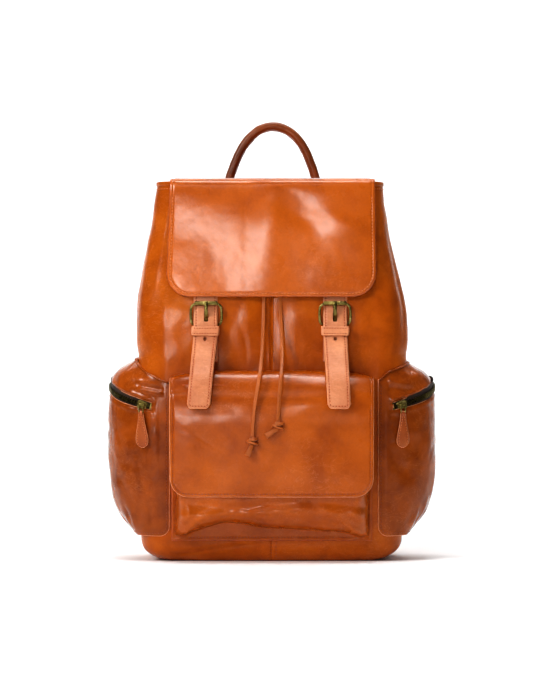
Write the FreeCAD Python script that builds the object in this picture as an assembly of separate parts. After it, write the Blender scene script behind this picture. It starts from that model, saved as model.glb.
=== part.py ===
import FreeCAD, Part
import math
import os

# Leather backpack. +Z up, the front faces -Y, +X is the wearer's left hand
# side seen from the front (right in a front view). Millimetres. The origin is
# the middle of the outside box, on the surface the bag stands on.

# ---------------------------------------------------------------- dimensions
LEATHER = 3.0            # body leather with its lining seam
OUTLINE = [(109, 0), (128, 10), (137, 27), (141, 60), (141, 231), (128.5, 324), (117.5, 393)]
FRONT_Y = -65.0          # front face, below the knee of the front panel
KNEE_Z = 205.0
FRONT_TOP_Y = -50.0
BODY_TOP = 393.0
BACK_Y = 60.0
CORNER = [(110, -65), (130, -58), (141, -42)]    # plan of the rounded front corner

FLAP_TOP = 400.0
FLAP_LOW = 277.0
FLAP_HALF_TOP = 105.7
FLAP_HALF_LOW = 109.0
FLAP_R = 24.0
FLAP_T = 3.0
FLAP_FRONT_Y = -67.0     # outer face of the drop
FLAP_HINGE_Y = 46.3

POCKET_HALF = 103.0
POCKET_LOW = 24.0
POCKET_TOP = 184.0
POCKET_Y = -98.0
POCKET_FLAP_HALF = 105.7
POCKET_FLAP_LOW = 67.6
POCKET_FLAP_Y = -104.0
POCKET_HINGE = (-66.0, 204.7)

SIDE_C = (113.2, -12.0)  # plan centre of the side pocket's round wall
SIDE_R = 56.0
SIDE_T = 2.5
SIDE_LOW = 30.0
SIDE_TOP = 199.5
ZIP_SLOPE = 0.284
ZIP_G = (0.598, 0.801)   # plan direction in which the zip climbs
ZIP_Z = 172.5
ZIP_HALF = 4.5

BUCKLE_X = (-68.5, 65.5)
STRAP_W = 25.0
STRAP_T = 2.2
STRAP_LINE = [(-63.1, 276.5), (-65.0, 269.0), (-71.2, 246.5), (-74.2, 234.0), (-90.0, 211.5), (-107.0, 190.0), (-108.9, 178.0), (-108.9, 160.5)]
BAR_R = 1.5
TOP_BAR = (-69.0, 269.0)
LOW_BAR = (-66.0, 246.5)
TONGUE_TIP = (-73.8, 270.0)

LACE_D = 3.4
SPLIT_Z = 272.0
ROUTE_L = [(-8, -55.5, 372), (-7.5, -58.6, 340), (-8.2, -60.6, 300), (-8.5, -62, 268), (-9.5, -73, 232), (-10.8, -89, 210), (-13.5, -107, 188.5), (-17.5, -107.8, 166), (-19.6, -107.6, 147), (-20.1, -107.8, 130)]
ROUTE_R = [(8, -55.5, 372), (7.5, -58.6, 340), (8.0, -60.6, 300), (8.6, -62, 268), (10.2, -73, 232), (10.6, -89, 210), (9.0, -107, 188.5), (7.0, -107.8, 166), (6.2, -107.6, 146)]

HANDLE_OUT = 50.0        # half width outside, at the foot
HANDLE_IN = 40.0
HANDLE_TOP = 466.0
HANDLE_BAND = 9.5
HANDLE_Y = (50.0, 66.0)
HANDLE_FOOT = 396.8

AXIS_Y = 80.0            # line on which a shoulder strap swings
AXIS_TOP = (40.0, 352.0)
AXIS_LOW = (100.0, 52.0)

V = FreeCAD.Vector
os.makedirs("parts", exist_ok=True)


# ------------------------------------------------------------------- helpers
def save(name, shape):
    shape = shape.removeSplitter() if shape.ShapeType != "Compound" else shape
    if not shape.isValid():
        print("NOT VALID", name)
    shape.exportStep("parts/%s.step" % name)


def prism(points, plane, a, b):
    if plane == "xz":
        pts = [V(p[0], a, p[1]) for p in points]
        d = V(0, b - a, 0)
    elif plane == "yz":
        pts = [V(a, p[0], p[1]) for p in points]
        d = V(b - a, 0, 0)
    else:
        pts = [V(p[0], p[1], a) for p in points]
        d = V(0, 0, b - a)
    wire = Part.makePolygon(pts + [pts[0]])
    return Part.Face(wire).extrude(d)


def box(x0, x1, y0, y1, z0, z1):
    return Part.makeBox(x1 - x0, y1 - y0, z1 - z0, V(x0, y0, z0))


def rod(p, q, r):
    p, q = V(*p), V(*q)
    return Part.makeCylinder(r, (q - p).Length, p, q - p)


def strip(points, t):
    """Closed outline of a band of thickness t about an open line."""
    left, right = [], []
    n = len(points)
    for i, p in enumerate(points):
        dirs = []
        if i > 0:
            q = points[i - 1]
            dirs.append((p[0] - q[0], p[1] - q[1]))
        if i < n - 1:
            q = points[i + 1]
            dirs.append((q[0] - p[0], q[1] - p[1]))
        ns = []
        for d in dirs:
            m = math.hypot(*d)
            ns.append((-d[1] / m, d[0] / m))
        sx = sum(k[0] for k in ns)
        sy = sum(k[1] for k in ns)
        m = math.hypot(sx, sy)
        nx, ny = sx / m, sy / m
        c = nx * ns[0][0] + ny * ns[0][1]
        h = t / 2 / c
        left.append((p[0] + nx * h, p[1] + ny * h))
        right.append((p[0] - nx * h, p[1] - ny * h))
    return left + right[::-1]


def inset(poly, d):
    """Move every side of a convex counter-clockwise outline in by d."""
    lines = []
    n = len(poly)
    for i in range(n):
        (x0, y0), (x1, y1) = poly[i], poly[(i + 1) % n]
        m = math.hypot(x1 - x0, y1 - y0)
        nx, ny = -(y1 - y0) / m, (x1 - x0) / m
        lines.append((nx, ny, nx * x0 + ny * y0 + d))
    out = []
    for i in range(n):
        a, b, c = lines[i - 1]
        e, f, g = lines[i]
        det = a * f - b * e
        out.append(((c * f - b * g) / det, (a * g - c * e) / det))
    return out


def rounded(half_top, half_low, top, low, r, n=6):
    """Outline of a flap: square at the top, round at the lower corners."""
    pts = [(half_top, top), (-half_top, top)]
    for k in range(n + 1):
        a = math.pi + math.pi / 2 * k / n
        pts.append((-half_low + r + r * math.cos(a), low + r + r * math.sin(a)))
    for k in range(n + 1):
        a = -math.pi / 2 + math.pi / 2 * k / n
        pts.append((half_low - r + r * math.cos(a), low + r + r * math.sin(a)))
    return pts


def mirror(shape):
    return shape.mirror(V(0, 0, 0), V(1, 0, 0))


def group(shapes):
    return Part.Compound(shapes)


def pair(name, shape):
    """The shape is made on the +X side; its twin is the mirror image."""
    save(name + "_right", shape)
    save(name + "_left", mirror(shape))


# ---------------------------------------------------------------------- body
outline = OUTLINE + [(-x, z) for x, z in OUTLINE[::-1]]
inner = inset(outline, LEATHER)
inner = [(x, z if z < 300 else 420.0) for x, z in inner]
bag = prism(outline, "xz", -80, 80)
hollow = prism(inner, "xz", -80, 80)
# side view of the front face, from the base to the mouth
front_line = [(FRONT_Y, 0), (FRONT_Y, KNEE_Z), (FRONT_TOP_Y, BODY_TOP)]


def behind(offset, back):
    """Everything between the front face moved back by offset, and y = back."""
    return prism([(FRONT_Y + offset, -5), (FRONT_Y + offset, KNEE_Z), (FRONT_TOP_Y + offset, BODY_TOP), (FRONT_TOP_Y + offset, 430), (back, 430), (back, -5)], "yz", -200, 200)


# plan of the bag with its rounded front corners
plan = [(x, y) for x, y in CORNER] + [(141, BACK_Y), (-141, BACK_Y)] + [(-x, y) for x, y in CORNER[::-1]]
plan_solid = prism(plan, "xy", -1, 420)
skin = bag.cut(hollow)
walls = skin.common(behind(0, BACK_Y)).common(plan_solid)
front_slab = behind(0, 90).cut(behind(LEATHER, 90))
front = bag.common(front_slab).common(plan_solid)
front_core = front.common(box(-109, 109, -90, 0, 3.2, 420))
save("front_panel_left", front_core.common(box(-200, -0.15, -90, 90, -1, 420)))
save("front_panel_right", front_core.common(box(0.15, 200, -90, 90, -1, 420)))
# the corner strip joins the side panel to the front panel
corner_in = [(x - LEATHER * (0.3 if i == 0 else 0.8 if i == 1 else 1.0), y + LEATHER * (1.0 if i == 0 else 0.8 if i == 1 else 0.3)) for i, (x, y) in enumerate(CORNER)]
corner_band = prism(CORNER + corner_in[::-1], "xy", 27.2, 420)
corner_band = corner_band.common(bag).common(behind(0, 90)).cut(front_core)
corner_top = bag.common(front_slab).common(box(109.2, 200, -90, 90, 27.2, 420)).common(plan_solid)
side = walls.common(box(100, 200, -80, BACK_Y - LEATHER - 0.2, 27.2, 420))
gusset = side.fuse(corner_band).fuse(corner_top).cut(box(0, 109.2, -90, 90, -1, 420))
pair("gusset", gusset)
back = bag.common(box(-200, 200, BACK_Y - LEATHER, BACK_Y, 3.2, 420))
save("back_panel", back)
base = walls.common(box(-200, 200, -80, BACK_Y - LEATHER - 0.2, -1, 27.0)).cut(front_core)
save("base_panel", base)
board = box(-100, 100, -58, 53, 3.6, 5.6)
save("base_board", board)

# lining: a thin fabric bag just inside the leather
lin_out = inset(outline, LEATHER + 0.4)
lin_in = inset(outline, LEATHER + 1.2)
lin_out = [(x, z if z < 300 else 391.0) for x, z in lin_out]
lin_in = [(x, z if z < 300 else 430.0) for x, z in lin_in]
lin = prism(lin_out, "xz", -80, 80).common(behind(LEATHER + 0.4, BACK_Y - LEATHER - 0.4)).common(box(-106, 106, -80, 80, 6, 391))
lin = lin.cut(prism(lin_in, "xz", -80, 80).common(behind(LEATHER + 1.2, BACK_Y - LEATHER - 1.2)).common(box(-105, 105, -80, 80, 6.8, 430)))
save("lining", lin)
save("laptop_sleeve", box(-98, 98, 38, 43, 8, 300))

# mouth edge, in three bars, and the yoke behind it that carries the handle
rim = [box(-112, 112, -50, -45, 393.3, 396), box(112.3, 117, -50, 46, 393.3, 396), box(-117, -112.3, -50, 46, 393.3, 396)]
save("mouth_binding", group(rim))
yoke = prism(strip([(61.6, 345), (61.6, 394.8), (47.0, 394.8)], 2.4), "yz", -111, 111)
save("top_yoke", yoke)
save("back_pad", box(-84, 84, BACK_Y + 0.3, 65, 45, 340))

eyelets = []
for x in (-85, -45, -8, 8, 45, 85):
    ring = Part.makeCylinder(5.5, 1.2, V(x, -53.7, 372), V(0, 1, 0)).cut(Part.makeCylinder(3.0, 4, V(x, -55, 372), V(0, 1, 0)))
    eyelets.append(ring)
save("eyelets", group(eyelets))
save("drawstring_rim", group([rod((46, -56.2, 372), (84, -56.2, 372), LACE_D / 2), rod((-84, -56.2, 372), (-46, -56.2, 372), LACE_D / 2)]))


# ----------------------------------------------------- lace tails and knots
def tube(route, r):
    pts = [V(*p) for p in route]
    edges = []
    start = pts[0]
    radii = []
    for i in range(1, len(pts) - 1):
        a, b, c = pts[i - 1], pts[i], pts[i + 1]
        u = (a - b)
        v = (c - b)
        lu, lv = u.Length, v.Length
        u.normalize()
        v.normalize()
        turn = math.pi - u.getAngle(v)
        cut = 0.45 * min(lu, lv)
        radius = cut / math.tan(turn / 2)
        radii.append(radius)
        p, q = b + u * cut, b + v * cut
        mid = u + v
        mid.normalize()
        centre = b + mid * (radius / math.cos(turn / 2))
        m = centre - mid * radius
        edges.append(Part.LineSegment(start, p).toShape())
        edges.append(Part.Arc(p, m, q).toShape())
        start = q
    edges.append(Part.LineSegment(start, pts[-1]).toShape())
    wire = Part.Wire(edges)
    d = pts[1] - pts[0]
    disc = Part.Wire([Part.Circle(pts[0], d, r).toShape()])
    solid = wire.makePipeShell([disc], True, False)
    print("lace length %.1f  volume ratio %.4f  radii %s" % (wire.Length, solid.Volume / (math.pi * r * r * wire.Length), [round(k, 1) for k in radii]))
    return solid


uppers = []
for side_name, route in (("left", ROUTE_L), ("right", ROUTE_R)):
    lace = tube(route, LACE_D / 2)
    uppers.append(lace.common(box(-60, 60, -90, 0, SPLIT_Z + 0.2, 400)))
    save("lace_tail_" + side_name, lace.common(box(-60, 60, -130, 0, 0, SPLIT_Z - 0.2)))
    x, y, z = route[-1]
    knot = Part.makeSphere(4.0, V(x, y - 0.3, z - 3.8)).common(box(x - 6, x + 6, -111.6, -104.4, z - 9, z - 0.1))
    ends = box(x - 4.0, x + 3.0, -109.0, -106.4, z - 20, z - 7.9) if side_name == "left" else box(x - 5.5, x + 1.5, -109.0, -106.4, z - 20, z - 7.9)
    save("knot_" + side_name, knot.fuse(ends))
save("lace_upper", group(uppers))

# ----------------------------------------------------------------- main flap
flap_line = [(FLAP_HINGE_Y - 0.3, FLAP_TOP - 1.5), (-50, FLAP_TOP - 1.5), (-60, 394.5), (-65.5, 384), (-65.5, FLAP_LOW)]
flap = prism(strip(flap_line, FLAP_T), "yz", -112, 112)
flap = flap.common(prism(rounded(FLAP_HALF_TOP, FLAP_HALF_LOW, 410, FLAP_LOW, FLAP_R), "xz", -80, 80))
save("flap_panel", flap)
roots = []
for x in BUCKLE_X:
    roots.append(box(x - STRAP_W / 2, x + STRAP_W / 2, -63.8, -61.8, FLAP_LOW + 0.4, 300))
save("billet_roots", group(roots))

# -------------------------------------------------------------------- handle
arch_out, arch_in = [], []
N = 24
for k in range(N + 1):
    a = math.pi * k / N
    c, s = math.cos(a), math.sin(a)
    e = 0.82
    cx = math.copysign(abs(c) ** e, c)
    sx = abs(s) ** e
    arch_out.append((HANDLE_OUT * cx, HANDLE_FOOT + (HANDLE_TOP - HANDLE_FOOT) * sx))
    arch_in.append((HANDLE_IN * cx, HANDLE_FOOT + (HANDLE_TOP - HANDLE_BAND - HANDLE_FOOT) * sx))
handle = prism(arch_out + arch_in[::-1], "xz", *HANDLE_Y)
save("handle_grip", handle)

# ------------------------------------------------------ straps with buckles
for side_name, bx in (("left", BUCKLE_X[0]), ("right", BUCKLE_X[1])):
    billet = prism(strip(STRAP_LINE, STRAP_T), "yz", bx - STRAP_W / 2, bx + STRAP_W / 2)
    billet = billet.cut(box(bx - 2.6, bx + 2.6, -80, -60, 246.4, 260.5))
    save("billet_" + side_name, billet)
    ty, tz = TOP_BAR
    ly, lz = LOW_BAR
    w = 15.5
    frame = rod((bx - w, ty, tz), (bx + w, ty, tz), BAR_R)
    frame = frame.fuse(rod((bx - w, ly, lz), (bx + w, ly, lz), BAR_R))
    for s in (-1, 1):
        frame = frame.fuse(rod((bx + s * w, ty, tz), (bx + s * w, ly, lz), BAR_R))
        frame = frame.fuse(Part.makeSphere(BAR_R, V(bx + s * w, ty, tz))).fuse(Part.makeSphere(BAR_R, V(bx + s * w, ly, lz)))
    save("buckle_frame_" + side_name, frame)
    roller = Part.makeCylinder(2.5, 26.0, V(bx - 13, ty, tz), V(1, 0, 0)).cut(Part.makeCylinder(BAR_R + 0.05, 30, V(bx - 15, ty, tz), V(1, 0, 0)))
    save("roller_" + side_name, roller)
    tongue = rod((bx, ly, lz), (bx, TONGUE_TIP[0], TONGUE_TIP[1]), 1.6)
    tongue = tongue.fuse(Part.makeCylinder(3.0, 4.0, V(bx - 2, ly, lz), V(1, 0, 0)))
    tongue = tongue.cut(Part.makeCylinder(BAR_R + 0.05, 8, V(bx - 4, ly, lz), V(1, 0, 0)))
    save("tongue_" + side_name, tongue)
    plate = box(bx - 11, bx + 11, -67.4, -65.5, 213, 243.6).cut(box(bx - 2.8, bx + 2.8, -70, -60, 240, 250))
    for s in (-1, 1):
        x0 = bx + s * 7.0 - 4
        loop = Part.makeCylinder(3.4, 8, V(x0, ly, lz), V(1, 0, 0))
        plate = plate.fuse(loop)
    plate = plate.cut(Part.makeCylinder(BAR_R + 0.1, 40, V(bx - 20, ly, lz), V(1, 0, 0)))
    save("buckle_tab_" + side_name, plate)
    keeper = box(bx - 14.5, bx + 14.5, -77.6, -63.9, 236, 242.4).cut(box(bx - 13, bx + 13, -76.0, -65.1, 230, 250))
    save("keeper_" + side_name, keeper)
    save("snap_stud_" + side_name, Part.makeCylinder(6.0, 0.5, V(bx, -65.4, 222), V(0, 1, 0)))
save("snap_sockets", group([Part.makeCylinder(6.0, 0.4, V(bx, -64.6, 222), V(0, 1, 0)) for bx in BUCKLE_X]))

# -------------------------------------------------------------- front pocket
save("front_pocket_panel", box(-POCKET_HALF, POCKET_HALF, POCKET_Y, POCKET_Y + 2.5, POCKET_LOW, POCKET_TOP))
gy0, gy1 = POCKET_Y + 2.7, FRONT_Y - 0.3
save("front_pocket_gusset", group([
    box(-POCKET_HALF, POCKET_HALF, gy0, gy1, POCKET_LOW, POCKET_LOW + 2.5),
    box(-POCKET_HALF, -POCKET_HALF + 2.5, gy0, gy1, POCKET_LOW + 2.7, POCKET_TOP),
    box(POCKET_HALF - 2.5, POCKET_HALF, gy0, gy1, POCKET_LOW + 2.7, POCKET_TOP)]))
pf_line = [(POCKET_HINGE[0], POCKET_HINGE[1] - 1.5), (-84, 200.5), (-97, 192), (POCKET_FLAP_Y + 1.5, 179), (POCKET_FLAP_Y + 1.5, POCKET_FLAP_LOW)]
pf = prism(strip(pf_line, 3.0), "yz", -POCKET_FLAP_HALF, POCKET_FLAP_HALF)
pf = pf.common(prism(rounded(POCKET_FLAP_HALF, POCKET_FLAP_HALF, 230, POCKET_FLAP_LOW, 19.0), "xz", -130, -60))
save("pocket_flap", pf)
save("pocket_snap_stud", Part.makeCylinder(7.0, 1.0, V(0, -100.9, 95), V(0, 1, 0)))
save("pocket_snap_socket", Part.makeCylinder(7.0, 1.0, V(0, -99.2, 95), V(0, 1, 0)))

# -------------------------------------------------------------- side pockets
cx, cy = SIDE_C


def arc_band(r_in, r_out, t0, t1, z0, z1, n=28):
    pts = []
    for k in range(n + 1):
        t = math.radians(t0 + (t1 - t0) * k / n)
        pts.append((cx + r_out * math.sin(t), cy - r_out * math.cos(t)))
    for k in range(n, -1, -1):
        t = math.radians(t0 + (t1 - t0) * k / n)
        pts.append((cx + r_in * math.sin(t), cy - r_in * math.cos(t)))
    return prism(pts, "xy", z0, z1)


def climb(half):
    """Slab about the zip's sloping plane."""
    n = V(-ZIP_SLOPE * ZIP_G[0], -ZIP_SLOPE * ZIP_G[1], 1)
    n.normalize()
    b = Part.makeBox(300, 300, 2 * half, V(-150, -150, -half))
    b.Placement = FreeCAD.Placement(V(cx, cy, ZIP_Z), FreeCAD.Rotation(V(0, 0, 1), n))
    return b


T0, T1 = -5.3, 148.2
wall = arc_band(SIDE_R - SIDE_T, SIDE_R, T0, T1, SIDE_LOW, SIDE_TOP - 2.7)
slot = climb(ZIP_HALF).common(arc_band(SIDE_R - SIDE_T - 1, SIDE_R + 1, 10, 122, 140, 199))
wall = wall.cut(slot)
sector = []
for k in range(29):
    t = math.radians(T0 + (T1 - T0) * k / 28)
    sector.append((cx + SIDE_R * math.sin(t), cy - SIDE_R * math.cos(t)))
sector = prism(sector + [(141.45, 32), (141.45, -42.3), (130.35, -58.45), (110.1, -65.4)], "xy", 0, 300)
cap = sector.common(box(0, 300, -200, 200, SIDE_TOP - 2.5, SIDE_TOP))
floor = sector.common(box(0, 300, -200, 200, SIDE_LOW - 2.7, SIDE_LOW - 0.2))
pair("side_pocket", group([wall, cap, floor]))
tape = climb(ZIP_HALF - 0.2).common(arc_band(SIDE_R - 2.0, SIDE_R - 0.4, 10.5, 121.5, 140, 199))
pair("zip_tape", tape)
teeth = climb(1.6).common(arc_band(SIDE_R - 0.3, SIDE_R + 0.8, 12, 120, 140, 199))
pair("zip_teeth", teeth)

TS = 20.0
ts = math.radians(TS)
rad = V(math.sin(ts), -math.cos(ts), 0)
tan = V(math.cos(ts), math.sin(ts), 0)
s0 = V(cx, cy, 0) + rad * (SIDE_R + 2.0)
zs = ZIP_Z + ZIP_SLOPE * (ZIP_G[0] * rad.x + ZIP_G[1] * rad.y) * (SIDE_R + 2)


def local_box(a0, a1, r0, r1, z0, z1):
    """Box on the pocket wall: a along the wall, r outwards from the slider's inner face."""
    b = Part.makeBox(a1 - a0, r1 - r0, z1 - z0, V(a0, -r1, z0))
    b.Placement = FreeCAD.Placement(V(s0.x, s0.y, zs), FreeCAD.Rotation(V(0, 0, 1), TS))
    return b


slider = local_box(-6.5, 6.5, 0, 2.6, -3.6, 3.6).fuse(local_box(-1.2, 1.2, 2.6, 4.6, -3.0, 1.5))
pair("zip_slider", slider)
ring = local_box(-2.2, 2.2, 5.0, 6.2, -9.0, -3.8)
ring = ring.fuse(local_box(-6.4, 6.4, 4.6, 7.4, -43, -9.0))
pair("zip_puller", ring)
print("zip slider rest point", round(s0.x, 2), round(s0.y, 2), round(zs, 2))

# ------------------------------------------------------------ shoulder straps
dx = AXIS_LOW[0] - AXIS_TOP[0]
dz = AXIS_TOP[1] - AXIS_LOW[1]
tilt = math.degrees(math.atan2(dx, dz))
run = math.hypot(dx, dz)


def on_axis(shape):
    """From the strap's own frame (down = -Z from the top of its line) to the bag's."""
    shape = shape.copy()
    shape.Placement = FreeCAD.Placement(V(AXIS_TOP[0], AXIS_Y, AXIS_TOP[1]), FreeCAD.Rotation(V(0, 1, 0), -tilt))
    return shape


pad = prism(strip([(0, 0), (9, -22), (21.5, -70), (25.5, -125), (24.0, -178)], 9.0), "yz", -27.5, 27.5)
pad = pad.common(box(-40, 40, -40, 60, -400, 0))
low = prism(strip([(23.2, -192), (13.5, -245), (0, -run)], 2.4), "yz", -12.5, 12.5)
low = low.common(box(-40, 40, -40, 60, -run, -100))
adj = box(-17, 17, 22.2, 25.2, -190.7, -180.7).cut(box(-14, 14, 20, 27, -187.9, -183.5))
pair("shoulder_pad", on_axis(pad))
pair("lower_strap", on_axis(low))
pair("adjuster", on_axis(adj))
top_a = on_axis(box(-25, 25, -16.6, 4.5, 0.4, 33))
low_a = on_axis(box(-14, 14, -19.4, 2.0, -run - 24, -run - 0.4))
save("strap_anchors_top", group([top_a, mirror(top_a)]))
save("strap_anchors_low", group([low_a, mirror(low_a)]))
print("strap axis", round(tilt, 3), round(run, 2))
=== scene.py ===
import bpy
import bmesh
import math
import numpy as np
from mathutils import Vector, Matrix


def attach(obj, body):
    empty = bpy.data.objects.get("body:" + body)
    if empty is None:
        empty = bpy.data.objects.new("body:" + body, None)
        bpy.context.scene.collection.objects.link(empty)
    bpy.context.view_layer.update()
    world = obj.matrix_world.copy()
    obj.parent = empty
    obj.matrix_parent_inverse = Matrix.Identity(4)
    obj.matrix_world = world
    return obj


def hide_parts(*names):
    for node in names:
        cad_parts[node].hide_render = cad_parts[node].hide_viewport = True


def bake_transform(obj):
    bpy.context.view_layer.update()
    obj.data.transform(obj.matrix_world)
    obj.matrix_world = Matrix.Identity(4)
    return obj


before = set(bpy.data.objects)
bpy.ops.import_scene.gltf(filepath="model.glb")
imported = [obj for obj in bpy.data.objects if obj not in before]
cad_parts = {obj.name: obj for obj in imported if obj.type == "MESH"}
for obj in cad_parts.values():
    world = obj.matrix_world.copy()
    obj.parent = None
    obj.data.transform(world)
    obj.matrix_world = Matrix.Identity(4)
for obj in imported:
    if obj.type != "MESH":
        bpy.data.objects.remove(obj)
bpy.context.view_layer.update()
MM = 0.001
SCN = bpy.context.scene
SCN.view_settings.view_transform = "Standard"
SCN.view_settings.look = "High Contrast"
SCN.view_settings.exposure = -0.38


# ------------------------------------------------------------------ noise
def _h(ix, iy, iz, k):
    n = (ix.astype(np.int64) * 374761393 + iy.astype(np.int64) * 668265263 + iz.astype(np.int64) * 2147483647 + k * 974634777) & 0xFFFFFFFF
    n = ((n ^ (n >> 13)) * 1274126177) & 0xFFFFFFFF
    n = ((n ^ (n >> 16)) * 2246822519) & 0xFFFFFFFF
    n = n ^ (n >> 15)
    return (n & 0xFFFF) / 32767.5 - 1.0


def noise3(p, size, seed=0):
    """Gradient noise, about -1..1, with features of the given size in mm (one number or three)."""
    q = np.asarray(p, float) / np.asarray(size, float)
    i = np.floor(q)
    f = q - i
    w = f * f * f * (f * (f * 6 - 15) + 10)
    out = 0
    for dx in (0, 1):
        for dy in (0, 1):
            for dz in (0, 1):
                ix, iy, iz = i[..., 0] + dx, i[..., 1] + dy, i[..., 2] + dz
                g = _h(ix, iy, iz, seed * 7 + 1) * (f[..., 0] - dx) + _h(ix, iy, iz, seed * 7 + 2) * (f[..., 1] - dy) + _h(ix, iy, iz, seed * 7 + 3) * (f[..., 2] - dz)
                wt = (w[..., 0] if dx else 1 - w[..., 0]) * (w[..., 1] if dy else 1 - w[..., 1]) * (w[..., 2] if dz else 1 - w[..., 2])
                out = out + g * wt
    return out * 1.3


def fbm(p, size, seed=0, octaves=3):
    out, a, s = 0, 1.0, np.asarray(size, float)
    for k in range(octaves):
        out = out + a * noise3(p, s, seed + k * 13)
        a *= 0.5
        s = s * 0.5
    return out


def ridge(p, size, seed=0, sharp=6.0):
    """Thin lines, 0..1, where a noise field crosses zero: leather creases."""
    n = noise3(p, size, seed)
    return np.exp(-(n * sharp) ** 2)


def smooth(a, b, x):
    t = np.clip((np.asarray(x, float) - a) / (b - a), 0, 1)
    return t * t * (3 - 2 * t)


def curve(xs, ys, x):
    """Smooth line through points (cubic Hermite, no overshoot)."""
    xs, ys = np.asarray(xs, float), np.asarray(ys, float)
    d = np.diff(ys) / np.diff(xs)
    m = np.zeros_like(ys)
    m[1:-1] = np.where(d[:-1] * d[1:] > 0, 2 * d[:-1] * d[1:] / (d[:-1] + d[1:] + 1e-12), 0)
    m[0], m[-1] = d[0], d[-1]
    x = np.clip(np.asarray(x, float), xs[0], xs[-1])
    k = np.clip(np.searchsorted(xs, x) - 1, 0, len(xs) - 2)
    h = xs[k + 1] - xs[k]
    t = (x - xs[k]) / h
    return (2 * t**3 - 3 * t**2 + 1) * ys[k] + (t**3 - 2 * t**2 + t) * h * m[k] + (-2 * t**3 + 3 * t**2) * ys[k + 1] + (t**3 - t**2) * h * m[k + 1]


# ----------------------------------------------------------------- meshes
def make(name, verts, faces, mats, index=None, smooth_shade=True):
    """verts in mm."""
    me = bpy.data.meshes.new(name)
    me.from_pydata([tuple(float(c) * MM for c in v) for v in verts], [], [tuple(int(i) for i in f) for f in faces])
    for m in mats if isinstance(mats, (list, tuple)) else [mats]:
        me.materials.append(m)
    if index is not None:
        me.polygons.foreach_set("material_index", np.asarray(index, np.int32))
    me.polygons.foreach_set("use_smooth", [smooth_shade] * len(me.polygons))
    me.validate()
    me.update()
    ob = bpy.data.objects.new(name, me)
    SCN.collection.objects.link(ob)
    return ob


def normals_of(P):
    dr = np.gradient(P, axis=0)
    dc = np.gradient(P, axis=1)
    n = np.cross(dr, dc)
    return n / (np.linalg.norm(n, axis=2, keepdims=True) + 1e-12)


def shell(name, P, t, mats, keep=None, rim=0.42, wrap=False):
    """A sheet of leather: P is its outer face (rows down, columns to the right seen from outside), t its thickness in mm.
    mats = [outer, inner, edge]. keep = mask of quads to keep. Closed and rounded at every free edge."""
    R, C = P.shape[:2]
    n = normals_of(P)
    if wrap:
        Pp = np.concatenate([P[:, -2:-1], P, P[:, 1:2]], axis=1)
        n = normals_of(Pp)[:, 1:-1]
    tt = t if np.isscalar(t) else np.asarray(t)[..., None]
    Q = P - n * tt
    verts = np.concatenate([P.reshape(-1, 3), Q.reshape(-1, 3)])
    off = R * C
    if wrap:
        cols = C - 1
    else:
        cols = C - 1
    idx = lambda i, j: i * C + (j % (C - 1) if wrap else j)
    faces, mi = [], []
    edges = {}
    for i in range(R - 1):
        for j in range(cols):
            if keep is not None and not keep[i, j]:
                continue
            a, b, c, d = idx(i, j), idx(i + 1, j), idx(i + 1, j + 1), idx(i, j + 1)
            faces.append((a, b, c, d)); mi.append(0)
            faces.append((a + off, d + off, c + off, b + off)); mi.append(1)
            for e in ((a, b), (b, c), (c, d), (d, a)):
                if (e[1], e[0]) in edges:
                    del edges[(e[1], e[0])]
                else:
                    edges[e] = True
    out = {}
    nf = n.reshape(-1, 3)
    for a, b in edges:
        e = verts[b] - verts[a]
        m = np.linalg.norm(e)
        if m < 1e-9:
            continue
        o = np.cross(e / m, (nf[a] + nf[b]) / 2)
        for k in (a, b):
            out[k] = out.get(k, 0) + o
    extra = []
    ring = {}
    for k, o in out.items():
        m = np.linalg.norm(o)
        o = o / m if m > 1e-9 else o
        A, B = verts[k], verts[k + off]
        c = (A + B) / 2
        h = (A - B) / 2
        th = np.linalg.norm(h) * 2
        ids = []
        for ang in (50, 0, -50):
            r = math.radians(ang)
            extra.append(c + h * math.sin(r) / math.sin(math.radians(62)) + o * th * rim * math.cos(r))
            ids.append(2 * off + len(extra) - 1)
        ring[k] = ids
    if extra:
        verts = np.concatenate([verts, np.array(extra)])
    for a, b in edges:
        if a not in ring or b not in ring:
            continue
        la = [a] + ring[a] + [a + off]
        lb = [b] + ring[b] + [b + off]
        for k in range(4):
            faces.append((lb[k], la[k], la[k + 1], lb[k + 1])); mi.append(2)
    used = np.zeros(len(verts), bool)
    fa = np.array(faces)
    used[fa.ravel()] = True
    remap = np.cumsum(used) - 1
    ob = make(name, verts[used], remap[fa], mats, mi)
    return ob


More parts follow.
